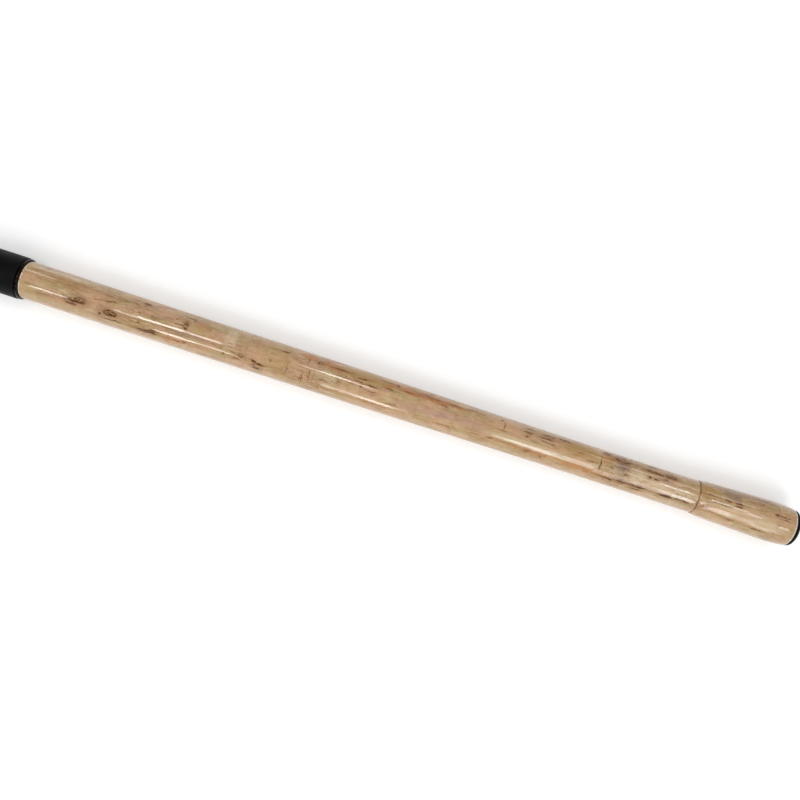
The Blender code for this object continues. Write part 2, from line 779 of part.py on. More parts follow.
def foot_whipping(name, rear, front, blank_r, foot):
    """Thread over a foot and round the blank, with a hump that follows the foot."""
    base = blank_r + GAP + WHIP_THICKNESS
    top = foot.floor + foot.thickness
    corner_angle = math.atan2(foot.width / 2, top)
    spread = HUMP_SPREAD * corner_angle
    corner = math.hypot(foot.width / 2 + GAP, top + GAP) + WHIP_OVER_FOOT
    peak = base + (corner - base) / HUMP_AT_CORNER
    heel_end = front if foot.heel > foot.toe else rear

    def loop(x, thin, share):
        points = []
        for index in range(ROUND_STEPS):
            angle = 2 * math.pi * index / ROUND_STEPS
            turn = min(angle, 2 * math.pi - angle)
            bump = math.cos(min(turn / spread, 1.0) * math.pi / 2) ** 2
            radius = base - thin + (peak - base) * share * bump
            points.append((x, radius * math.sin(angle), radius * math.cos(angle)))
        return points

    tapered = foot.toe_thickness < foot.thickness
    toe_share = HUMP_AT_TOE if tapered else 1.0
    rear_share, front_share = (toe_share, 1.0) if heel_end == front else (1.0, toe_share)
    sections = [
        loop(rear, WHIP_THICKNESS / 2, rear_share * HUMP_AT_END),
        loop(rear + WHIP_TAPER, 0.0, rear_share),
        loop(front - WHIP_TAPER, 0.0, front_share),
        loop(front, WHIP_THICKNESS / 2, front_share * HUMP_AT_END),
    ]
    wrap = lofted(name, sections, finish=THREAD)
    combine(wrap, reamer(name + "_bore", rear, front, blank_r + GAP), "DIFFERENCE")
    combine(wrap, foot_notch(name + "_notch", foot), "DIFFERENCE")
    shade(wrap)


def guide(name, x, ring, radius_at):
    """One guide: a hoop on struts, its ceramic ring, and a whipping over each foot."""
    double = ring >= DOUBLE_FOOT_FROM
    wire_r = strut_r(ring)
    length = foot_length(ring)
    lean = LEAN_SHARE * ring
    brace = BRACE_SHARE * ring
    rear_toe = x - lean - length
    blank_r = radius_at(rear_toe)
    floor = blank_r + GAP
    height = guide_height(ring, blank_r)
    band_r = ring / 2 + GAP + FRAME_WALL / 2

    frame = frame_band(name + "_frame", x, height, ring)
    heel = x - lean
    rear_foot = guide_foot(heel, rear_toe, floor, ring)
    combine(frame, foot_plate(name + "_rear_foot", rear_foot), "UNION")
    strut_floor = floor + wire_r + STRUT_LIFT
    for side, word in ((1, "left"), (-1, "right")):
        flank_y = side * band_r * math.sin(FLANK_ANGLE)
        flank_z = height - band_r * math.cos(FLANK_ANGLE)
        start_y = side * (wire_r + STRUT_SIDE_GAP)
        points = [(heel - STRUT_INTO_FOOT, start_y, strut_floor)]
        for along, spread, rise in STRUT_BENDS:
            points.append((
                lerp(heel, x, along),
                lerp(start_y, flank_y, spread),
                lerp(strut_floor, flank_z, rise),
            ))
        combine(frame, wire(f"{name}_{word}_strut", points, wire_r), "UNION")
    if double:
        front_heel = x + brace
        front_foot = guide_foot(front_heel, front_heel + length, floor, ring)
        combine(frame, foot_plate(name + "_front_foot", front_foot), "UNION")
        points = [
            (front_heel + STRUT_INTO_FOOT, 0, strut_floor),
            (front_heel - brace * BRACE_BEND_SHARE, 0, strut_floor + BRACE_LIFT),
            (x, 0, height - band_r),
        ]
        combine(frame, wire(name + "_brace", points, wire_r), "UNION")
    ream(frame, x, height, ring)
    shade(frame)
    ceramic_ring(name + "_ceramic_ring", x, height, ring)

    whip_rear = rear_toe - WHIP_PAST_TOE
    foot_whipping(name + "_rear_whipping", whip_rear, heel - FOOT_BARE, blank_r, rear_foot)
    if double:
        whip_front = front_foot.toe + WHIP_PAST_TOE
        whip_rear = front_heel + FOOT_BARE
        foot_whipping(name + "_front_whipping", whip_rear, whip_front, blank_r, front_foot)


def tip_ring():
    """A small guide on a tube that is glued over the tip of the blank."""
    rear = TIP_TUBE_FRONT - TIP_TUBE_LENGTH
    bore_r = tip_blank_r(rear) + GAP
    outer_r = bore_r + TIP_TUBE_WALL
    inner_front = TIP_TUBE_FRONT - TIP_TUBE_END
    x = TIP_TUBE_FRONT + TIP_RING_LEAN
    height = outer_r + TIP_RING_RISE + frame_outer_r(TIP_RING)
    frame = frame_band("tip_ring_frame", x, height, TIP_RING)
    tube = turned(
        "tip_ring_tube",
        [(TIP_TUBE_FRONT, 0.0), (TIP_TUBE_FRONT, outer_r - TIP_TUBE_EDGE),
         (TIP_TUBE_FRONT - TIP_TUBE_EDGE, outer_r), (rear, outer_r), (rear, bore_r),
         (inner_front, bore_r), (inner_front, 0.0)],
        group=CUTTERS, steps=SMALL_STEPS, closed=False)
    combine(frame, tube, "UNION")
    wire_r = strut_r(TIP_RING)
    band_r = TIP_RING / 2 + GAP + FRAME_WALL / 2
    for side, word in ((1, "left"), (-1, "right")):
        start_y = side * TIP_STRUT_HALF_SPACE
        flank_y = side * band_r * math.sin(TIP_FLANK_ANGLE)
        flank_z = height - band_r * math.cos(TIP_FLANK_ANGLE)
        points = [
            (TIP_TUBE_FRONT - TIP_STRUT_REACH, start_y, outer_r + STRUT_LIFT),
            (TIP_TUBE_FRONT - TIP_STRUT_REACH / 3, 1.5 * start_y, outer_r + 4 * STRUT_LIFT),
            (x, flank_y, flank_z),
        ]
        combine(frame, wire(f"tip_ring_{word}_strut", points, wire_r), "UNION")
    ream(frame, x, height, TIP_RING)
    shade(frame)
    ceramic_ring("tip_ring_ceramic_ring", x, height, TIP_RING)
    whip_front = rear - GAP
    whip_rear = whip_front - TIP_WHIP_LENGTH
    plain_whipping("tip_ring_whipping", whip_rear, whip_front, tip_blank_r(whip_rear), SMALL_STEPS)


def line_clip():
    """A sprung strip that lies on the blank, with its rear end under a whipping."""
    blank_r = butt_blank_r(CLIP_REAR)
    floor = blank_r + GAP
    front = CLIP_REAR + CLIP_LENGTH
    bend = CLIP_REAR + CLIP_FOOT_LENGTH
    centre = [
        (CLIP_REAR, 0.0),
        (bend, 0.0),
        (lerp(bend, front, 0.25), CLIP_LIFT),
        (lerp(bend, front, 0.55), CLIP_LIFT),
        (lerp(bend, front, 0.85), CLIP_NIP),
        (front, CLIP_MOUTH),
    ]
    half = CLIP_WIDTH / 2
    sections = []
    for x, lift in centre:
        low = floor + lift
        high = low + CLIP_THICKNESS
        sections.append([(x, -half, low), (x, half, low), (x, half, high), (x, -half, high)])
    clip = lofted("line_clip", sections, finish=CLIP_STEEL)
    shade(clip)
    foot = Foot(bend, CLIP_REAR, floor, CLIP_WIDTH, CLIP_WIDTH, CLIP_THICKNESS, CLIP_THICKNESS)
    whip_rear = CLIP_REAR - WHIP_PAST_TOE
    foot_whipping("line_clip_whipping", whip_rear, bend - FOOT_BARE / 2, blank_r, foot)


def plain_whippings():
    """Whippings that bind the blank alone: in front of the handle and on the ferrule."""
    front = FRONT_WHIP_REAR + FRONT_WHIP_LENGTH
    plain_whipping("handle_whipping", FRONT_WHIP_REAR, front, butt_blank_r(FRONT_WHIP_REAR))
    front = FERRULE_X + FERRULE_WHIP_LENGTH
    plain_whipping("ferrule_whipping", FERRULE_X, front, tip_blank_r(FERRULE_X))


def main():
    handle()
    blanks()
    reel_seat_body()
    sliding_hood()
    lock_nut()
    seat_fittings()
    line_clip()
    plain_whippings()
    guide("butt_guide", BUTT_GUIDE_X, BUTT_RING, butt_blank_r)
    for index, (x, ring) in enumerate(zip(guide_places(), TIP_SECTION_RINGS)):
        guide(f"guide_{index + 2}", x, ring, tip_blank_r)
    tip_ring()


main()
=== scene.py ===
"""Looks of a two-piece carp rod that lies on its side on a pale floor.

Every piece is built in the rod's own frame: metres, +X from the butt to the tip, +Z up.
Pieces of the guides and the reel seat are drawn with the guides straight up, then rolled.
"""
from collections import namedtuple
from math import acos, asin, atan2, copysign, cos, exp, hypot, pi, radians, sin, sqrt

import bmesh
import bpy
import numpy as np
from mathutils import Matrix, Vector

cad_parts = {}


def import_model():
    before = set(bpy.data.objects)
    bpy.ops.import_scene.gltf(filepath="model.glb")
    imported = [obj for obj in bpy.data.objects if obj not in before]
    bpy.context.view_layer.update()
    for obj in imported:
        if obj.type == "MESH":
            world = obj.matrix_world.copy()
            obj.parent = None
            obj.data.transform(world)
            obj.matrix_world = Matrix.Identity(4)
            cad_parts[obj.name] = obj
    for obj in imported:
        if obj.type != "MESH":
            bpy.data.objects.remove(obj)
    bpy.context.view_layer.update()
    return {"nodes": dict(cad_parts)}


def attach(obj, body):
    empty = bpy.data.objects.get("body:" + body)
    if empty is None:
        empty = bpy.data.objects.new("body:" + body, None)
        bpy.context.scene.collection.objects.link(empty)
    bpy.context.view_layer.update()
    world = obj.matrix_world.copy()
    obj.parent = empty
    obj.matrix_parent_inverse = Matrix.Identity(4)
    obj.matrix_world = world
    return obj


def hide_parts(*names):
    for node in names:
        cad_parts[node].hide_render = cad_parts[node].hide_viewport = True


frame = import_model()

MM = 0.001

# Overall sizes, as in the CAD
ROD_LENGTH = 3.658
FERRULE_OVERLAP = 0.086
GAP = 0.0003
SLIDE_GAP = 0.0003
SEAM = 0.00002

# Blank
BLANK_BUTT_R = 0.0079
BLANK_FERRULE_R = 0.0060
BLANK_WALL = 0.0012
FERRULE_WALL = 0.0010
TIP_R = 0.0013
BLANK_LIP = 0.0003
TIP_BLANK_SOLID = 0.15
TIP_BLANK_WALL = 0.0006
TAPE_WIDTH = 0.0022

# Butt cap
CAP_THICKNESS = 0.0030
CAP_R = 0.0122
CAP_FLAT_R = 0.0080
CAP_RIM = 0.00025
SPIGOT_LENGTH = 0.018
SPIGOT_LEAD = 0.0008

# Flared cork butt, measured from its rear end
SWELL_RINGS = 5
SWELL_RING_WIDTH = 0.01333
SWELL_REAR_R = 0.0120
SWELL_CREST_R = 0.0135
SWELL_CREST_AT = 0.017
SWELL_FRONT_R = 0.0120
SWELL_FRONT_DROP = 0.0006
SWELL_FRONT_ROUND = 0.0085

# Long cork grip
GRIP_SECTIONS = 12
RINGS_PER_SECTION = 3
GRIP_RING_WIDTH = 0.01297
WAIST_R = 0.0110
WAIST_END = 0.075
GRIP_R = 0.0122
GRIP_FULL_AT = 0.275
GRIP_FRONT_R = 0.0128

# Reel seat
REAR_TRIM_WIDTH = 0.0020
REAR_TRIM_INSET = 0.00035
FRONT_TRIM_LENGTH = 0.014
FRONT_TRIM_INSET = 0.0005
FRONT_TRIM_WALL = 0.0012
FRONT_TRIM_GROOVE = 0.00022
ARBOR_WALL = 0.0010
BARREL_WALL = 0.0024
BED_CUT = 0.0009
HOOD_WALL = 0.0029
HOOD_EDGE = 0.0007
HOOD_RING_LENGTH = 0.026
HOOD_REACH = 0.038
POCKET_DEPTH = 0.011
POCKET_HEIGHT = 0.0055
POCKET_WIDTH = 0.0112
POCKET_WALL = 0.0013
POCKET_ROUND = 0.0016
BOSS_SKIRT = 0.0045
BOSS_SHOULDER_SHARE = 0.12
BOSS_BACK_SHARE = 0.45
BOSS_FLARE = 0.0012
BOSS_ROUND = 0.0035
BOSS_LIP = 0.0006
KEYWAY_WIDTH = 0.0030
KEYWAY_DEPTH = 0.0009
KEYWAY_START = 0.002
KEY_INSET = 0.001
REEL_FOOT_ROOM = 0.058
SLIDING_HOOD_LENGTH = 0.024
SLIDING_RING_LENGTH = 0.012
SLIDING_HOOD_WALL = 0.0021
NUT_LENGTH = 0.012
NUT_WALL = 0.0025
NUT_EDGE = 0.0010
NUT_FLUTES = 12
NUT_FLUTE_DEPTH = 0.0007
NUT_FLUTE_RUN = 0.0022
NUT_BEVEL = 0.0004
THREAD_AHEAD = 0.0057
THREAD_PITCH = 0.0015
THREAD_DEPTH = 0.0006
HOOD_TRAVEL = 0.030
# How far a cutter runs past what it cuts
CUT_PAST = 0.001

# Whippings and line clip
WHIP_THICKNESS = 0.0006
WHIP_TAPER = 0.0020
WHIP_PAST_TOE = 0.004
WHIP_END_SHARE = 0.35
WHIP_HUMP_END = 0.0016
FRONT_WHIP_LENGTH = 0.022
FERRULE_WHIP_LENGTH = 0.045
TIP_WHIP_LENGTH = 0.008
THREAD_WIDTH = 0.00022
CLIP_AHEAD = 0.045
CLIP_LENGTH = 0.021
CLIP_FOOT_LENGTH = 0.008
CLIP_WIDTH = 0.0030
CLIP_THICKNESS = 0.0005
CLIP_LIFT = 0.0014
CLIP_END_LIFT = 0.0007

# Guides
BUTT_RING = 0.050
TIP_SECTION_RINGS = (0.040, 0.030, 0.020, 0.016)
TIP_RING = 0.016
DOUBLE_FOOT_FROM = 0.030
RING_BORE_SHARE = 0.83
RING_DEPTH_BASE = 0.0018
RING_DEPTH_SHARE = 0.030
FRAME_WALL = 0.0012
FRAME_LIP = 0.0003
RISE_SHARE = 0.20
STRUT_R_BASE = 0.0007
STRUT_R_SHARE = 0.008
FLANK_ANGLE = radians(52)
STRUT_START = 0.0018
LEAN_SHARE = 0.42
BRACE_SHARE = 0.30
FOOT_LENGTH_BASE = 0.010
FOOT_LENGTH_SHARE = 0.24
FOOT_WIDTH_BASE = 0.0022
FOOT_WIDTH_SHARE = 0.045
FOOT_THICKNESS = 0.0012
FOOT_TOE_THICKNESS = 0.0005
FOOT_TOE_SHARE = 0.62
FOOT_BARE = 0.0027
PLATE_END = 0.0012
BUTT_GUIDE_BEHIND_FERRULE = 0.60
FIRST_RING_AHEAD_OF_FERRULE = 0.144
SPACING_RATIO = 0.83
TIP_TUBE_LENGTH = 0.012
TIP_TUBE_WALL = 0.0006
TIP_TUBE_END = 0.0012
TIP_TUBE_EDGE = 0.0004
TIP_RING_LEAN = 0.0060
TIP_RING_RISE = 0.0012
TIP_FLANK_ANGLE = radians(38)

# Places along the rod that follow from the sizes above
SECTION_LENGTH = (ROD_LENGTH + FERRULE_OVERLAP) / 2
FERRULE_X = SECTION_LENGTH - FERRULE_OVERLAP
CORK_REAR = CAP_THICKNESS + GAP
SWELL_LENGTH = SWELL_RINGS * SWELL_RING_WIDTH
GRIP_REAR = CORK_REAR + SWELL_LENGTH
GRIP_LENGTH = GRIP_SECTIONS * RINGS_PER_SECTION * GRIP_RING_WIDTH
CORK_FRONT = GRIP_REAR + GRIP_LENGTH
TRIM_REAR = CORK_FRONT + GAP
SEAT_REAR = TRIM_REAR + REAR_TRIM_WIDTH + GAP
HOOD_MOUTH = SEAT_REAR + HOOD_REACH
SLIDING_MOUTH = HOOD_MOUTH + REEL_FOOT_ROOM
BED_FRONT = SLIDING_MOUTH + POCKET_DEPTH - GAP
SLIDING_HOOD_FRONT = SLIDING_MOUTH + SLIDING_HOOD_LENGTH
NUT_REAR = SLIDING_HOOD_FRONT + GAP
NUT_FRONT = NUT_REAR + NUT_LENGTH
SEAT_FRONT = NUT_FRONT + THREAD_AHEAD
THREAD_REAR = NUT_REAR - HOOD_TRAVEL - 0.003
FRONT_TRIM_REAR = SEAT_FRONT + GAP
FRONT_WHIP_REAR = FRONT_TRIM_REAR + FRONT_TRIM_LENGTH + GAP
CLIP_REAR = FRONT_WHIP_REAR + CLIP_AHEAD
BUTT_GUIDE_X = FERRULE_X - BUTT_GUIDE_BEHIND_FERRULE
TIP_RING_DEPTH = RING_DEPTH_BASE + RING_DEPTH_SHARE * TIP_RING
TIP_TUBE_FRONT = ROD_LENGTH - TIP_RING_LEAN - TIP_RING_DEPTH / 2
TIP_BLANK_FRONT = TIP_TUBE_FRONT - TIP_TUBE_END - GAP


def lerp(low, high, share):
    return low + (high - low) * share


def ease(low, high, share):
    """A value between two others, with a level start and end."""
    share = np.clip(share, 0.0, 1.0)
    return low + (high - low) * share * share * (3 - 2 * share)


def butt_blank_r(x):
    return lerp(BLANK_BUTT_R, BLANK_FERRULE_R, x / SECTION_LENGTH)


def tip_blank_r(x):
    base = butt_blank_r(FERRULE_X) + GAP + FERRULE_WALL
    return lerp(base, TIP_R, (x - FERRULE_X) / (TIP_BLANK_FRONT - FERRULE_X))


SEAT_BORE_R = butt_blank_r(SEAT_REAR) + GAP + ARBOR_WALL + GAP
BARREL_R = SEAT_BORE_R + BARREL_WALL
BED_HEIGHT = BARREL_R - BED_CUT
POCKET_CEILING = BED_HEIGHT + POCKET_HEIGHT
HOOD_R = BARREL_R + HOOD_WALL


def swell_r(along):
    """Radius of the flared butt, at a distance from its rear end."""
    if along < SWELL_CREST_AT:
        share = 1 - along / SWELL_CREST_AT
        return SWELL_REAR_R + (SWELL_CREST_R - SWELL_REAR_R) * sqrt(1 - share * share)
    slope = (along - SWELL_CREST_AT) / (SWELL_LENGTH - SWELL_CREST_AT)
    taper = lerp(SWELL_CREST_R, SWELL_FRONT_R, slope)
    into_edge = max(0.0, along - (SWELL_LENGTH - SWELL_FRONT_ROUND)) / SWELL_FRONT_ROUND
    return taper - SWELL_FRONT_DROP * into_edge * into_edge


def grip_r(along):
    """Radius of the long grip, at a distance from its rear end."""
    if along < GRIP_FULL_AT:
        return ease(WAIST_R, GRIP_R, (along - WAIST_END) / (GRIP_FULL_AT - WAIST_END))
    return lerp(GRIP_R, GRIP_FRONT_R, (along - GRIP_FULL_AT) / (GRIP_LENGTH - GRIP_FULL_AT))


def guide_places():
    """Places of the tip section's guides, whose spacing shrinks towards the tip by one ratio."""
    place = FERRULE_X + FIRST_RING_AHEAD_OF_FERRULE
    count = len(TIP_SECTION_RINGS)
    step = (ROD_LENGTH - place) * (1 - SPACING_RATIO) / (1 - SPACING_RATIO**count)
    places = []
    for _ in range(count):
        places.append(place)
        place += step
        step *= SPACING_RATIO
    return places


def frame_outer_r(ring):
    return ring / 2 + GAP + FRAME_WALL


def guide_height(ring, blank_r):
    return blank_r + RISE_SHARE * ring + frame_outer_r(ring)


def lying_angle():
    """Height angle of the guides when the butt guide and the seat's hood touch one floor."""
    height = guide_height(BUTT_RING, butt_blank_r(BUTT_GUIDE_X))
    return asin((frame_outer_r(BUTT_RING) - HOOD_R) / height)


LIE = Matrix.Rotation(lying_angle() - pi / 2, 4, "X")
FLOOR_Z = -HOOD_R

# Camera, straight above the handle, with its lens in mm
EYE_X = 0.2761
EYE_Y = -0.0006
EYE_HEIGHT = 0.562
EYE_LENS = 37.9
SENSOR_WIDTH = 36.0
ROD_SLOPE = radians(18.03)


# Meshes

def placed(name, data):
    made = bpy.data.objects.new(name, data)
    bpy.context.scene.collection.objects.link(made)
    return made


def grid_mesh(rows, wrap=False, caps=True):
    """A skin over rows of points. Each row is a closed loop; wrap joins the last row to the first."""
    width = len(rows[0])
    count = len(rows)
    faces = []
    for index in range(count if wrap else count - 1):
        low = index * width
        high = ((index + 1) % count) * width
        for step in range(width):
            after = (step + 1) % width
            faces.append((low + step, low + after, high + after, high + step))
    if caps and not wrap:
        faces.append(tuple(range(width - 1, -1, -1)))
        faces.append(tuple(range((count - 1) * width, count * width)))
    mesh = bpy.data.meshes.new("shape")
    mesh.from_pydata([tuple(point) for row in rows for point in row], [], faces)
    return mesh


def full_turn(steps):
    return 2 * pi * np.arange(steps) / steps


def loop(x, radius, steps, height=0.0):
    """Points round the rod's axis, or round a line above it. The radius is a number or one a point."""
    angles = full_turn(steps)
    across = radius * np.sin(angles)
    return np.stack([np.full(steps, x), across, height + radius * np.cos(angles)], 1).tolist()


def turned_mesh(outline, steps=96, height=0.0, radius_at=None):
    """A turned solid. Its outline of (x, radius) is a loop, or starts and ends on the axis."""
    rows = []
    for x, radius in outline:
        if radius_at:
            radius = radius_at(x, radius, full_turn(steps))
        rows.append(loop(x, radius, steps, height))
    return grid_mesh(rows, wrap=outline[0][1] > 0, caps=False)


def face_out(mesh):
    shape = bmesh.new()
    shape.from_mesh(mesh)
    bmesh.ops.remove_doubles(shape, verts=shape.verts, dist=1e-7)
    bmesh.ops.recalc_face_normals(shape, faces=shape.faces)
    shape.to_mesh(mesh)
    shape.free()


def piece(name, mesh, slot, body="butt_section", smooth=40, roll=True, finish=None):
    """Makes a piece that stands for the node of its name, and lays it down with the rod."""
    if roll:
        mesh.transform(LIE)
    face_out(mesh)
    mesh.shade_smooth()
    mesh.set_sharp_from_angle(angle=radians(smooth))
    mesh.name = name
    mesh.materials.append(finish or LOOKS[slot])
    made = placed(mesh.name, mesh)
    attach(made, body)
    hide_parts(name)


def rounded(corners, sizes, steps):
    """A loop of (x, radius) whose corners are rounded, each by its own size."""
    made = []
    for index, size in enumerate(sizes):
        before, here, after = (Vector(corners[spot % len(corners)]) for spot in (index - 1, index, index + 1))
        size = min(size, (before - here).length * 0.49, (after - here).length * 0.49)
        if size <= 0:
            made.append(tuple(here))
            continue
        start = here + (before - here).normalized() * size
        end = here + (after - here).normalized() * size
        for step in range(steps + 1):
            share = step / steps
            made.append(tuple(start.lerp(here, share).lerp(here.lerp(end, share), share)))
    return made


def sleeve(rear, front, bore, radius, edge, steps):
    """The loop of a plain sleeve whose outer edges are rounded."""
    corners = [(rear, bore), (rear, radius), (front, radius), (front, bore)]
    return rounded(corners, [0.0, edge, edge, 0.0], steps)


# Materials

class Nodes:
    """The nodes of a material or the world in the making. Most methods add one and return its socket."""

    def __init__(self, owner):
        owner.use_nodes = True
        self.tree = owner.node_tree

    def feed(self, socket, value):
        if isinstance(value, bpy.types.NodeSocket):
            self.tree.links.new(value, socket)
        elif socket.type == "RGBA":
            socket.default_value = (*value, 1.0)
        else:
            socket.default_value = value

    def add(self, kind, inputs=(), **settings):
        """Adds any node and returns its outputs."""
        made = self.tree.nodes.new("ShaderNode" + kind)
        for key, value in settings.items():
            setattr(made, key, value)
        for key, value in dict(inputs).items():
            self.feed(made.inputs[key], value)
        return made.outputs

    def math(self, operation, first, second=0.0, third=0.0):
        return self.add("Math", {0: first, 1: second, 2: third}, operation=operation)[0]

    def times(self, first, second):
        return self.math("MULTIPLY", first, second)

    def line(self, value, factor, more):
        return self.math("MULTIPLY_ADD", value, factor, more)

    def larger(self, first, second):
        return self.math("MAXIMUM", first, second)

    def apart(self, first, second):
        return self.math("ABSOLUTE", self.math("SUBTRACT", first, second))

    def vector(self, operation, *inputs):
        """A vector's length is its second output, and a vector that is worked out is its first."""
        made = self.add("VectorMath", enumerate(inputs), operation=operation)
        return made[1 if operation == "LENGTH" else 0]

    def parts(self, vector):
        return self.add("SeparateXYZ", {0: vector})

    def ramp(self, value, low, high, start=0.0, end=1.0):
        """Maps low..high to start..end, with a level start and end."""
        found = {"Value": value, "From Min": low, "From Max": high, "To Min": start, "To Max": end}
        return self.add("MapRange", found, interpolation_type="SMOOTHSTEP")[0]


class Finish(Nodes):
    """A material in the making, whose noises lie in the piece's own coordinates."""

    def __init__(self, name, roughness, metallic=0.0, coat=0.0, coat_roughness=0.03, specular=0.5):
        self.material = bpy.data.materials.new(name)
        super().__init__(self.material)
        self.shader = self.tree.nodes["Principled BSDF"].inputs
        for key, value in (("Roughness", roughness), ("Metallic", metallic), ("Coat Weight", coat),
                           ("Coat Roughness", coat_roughness), ("Specular IOR Level", specular)):
            self.shader[key].default_value = value
        self.place = self.add("TexCoord")["Object"]

    def noise(self, scale, detail=2, roughness=0.5, place=None, output=0):
        """Noise of one scale, or of one along the rod and one across it."""
        place = self.place if place is None else place
        if isinstance(scale, tuple):
            place = self.vector("MULTIPLY", place, (scale[0], scale[1], scale[1]))
            scale = 1.0
        found = {"Vector": place, "Scale": scale, "Detail": detail, "Roughness": roughness}
        return self.add("TexNoise", found)[output]

    def round_rod(self):
        """The place along the rod and the angle round it."""
        x, y, z = self.parts(self.place)
        return x, self.math("ARCTAN2", y, z)

    def wound(self, pitch):
        """How far a place is from one turn to the next of something that is wound round the rod."""
        x, angle = self.round_rod()
        return self.math("FRACT", self.line(x, 1 / pitch, self.math("DIVIDE", angle, 2 * pi)))

    def mix(self, share, first, second):
        return self.add("Mix", {0: share, 6: first, 7: second}, data_type="RGBA")[2]

    def over(self, colour, tone, *ramp):
        """A colour with another tone over it, as a ramp says."""
        return self.mix(self.ramp(*ramp), colour, tone)

    def bump(self, height, distance, strength):
        return self.add("Bump", {"Height": height, "Distance": distance, "Strength": strength})[0]

    def done(self, colour, roughness=None, normal=None):
        for name, value in (("Base Color", colour), ("Roughness", roughness), ("Normal", normal)):
            if value is not None:
                self.feed(self.shader[name], value)
        return self.material


# Tones of the cork. The first, very pale one is no tone of the cork but a painted highlight, at the
# cork's ends and in two streaks along the film's glints; the next, pale one is paler cork and is also
# used for painted highlights beside the glints
PAINTED_HIGHLIGHT = (0.820, 0.760, 0.640)
PALE_AND_SHEEN = (0.632, 0.488, 0.326)
OLIVE = (0.476, 0.335, 0.163)
PINK = (0.547, 0.333, 0.194)
BROWN = (0.245, 0.126, 0.055)
GOLD = (0.401, 0.237, 0.084)
ORANGE = (0.454, 0.186, 0.058)
ROSE = (0.383, 0.209, 0.210)
GREY = (0.240, 0.163, 0.116)
FLECK = (0.190, 0.074, 0.018)
PIT = (0.070, 0.018, 0.003)

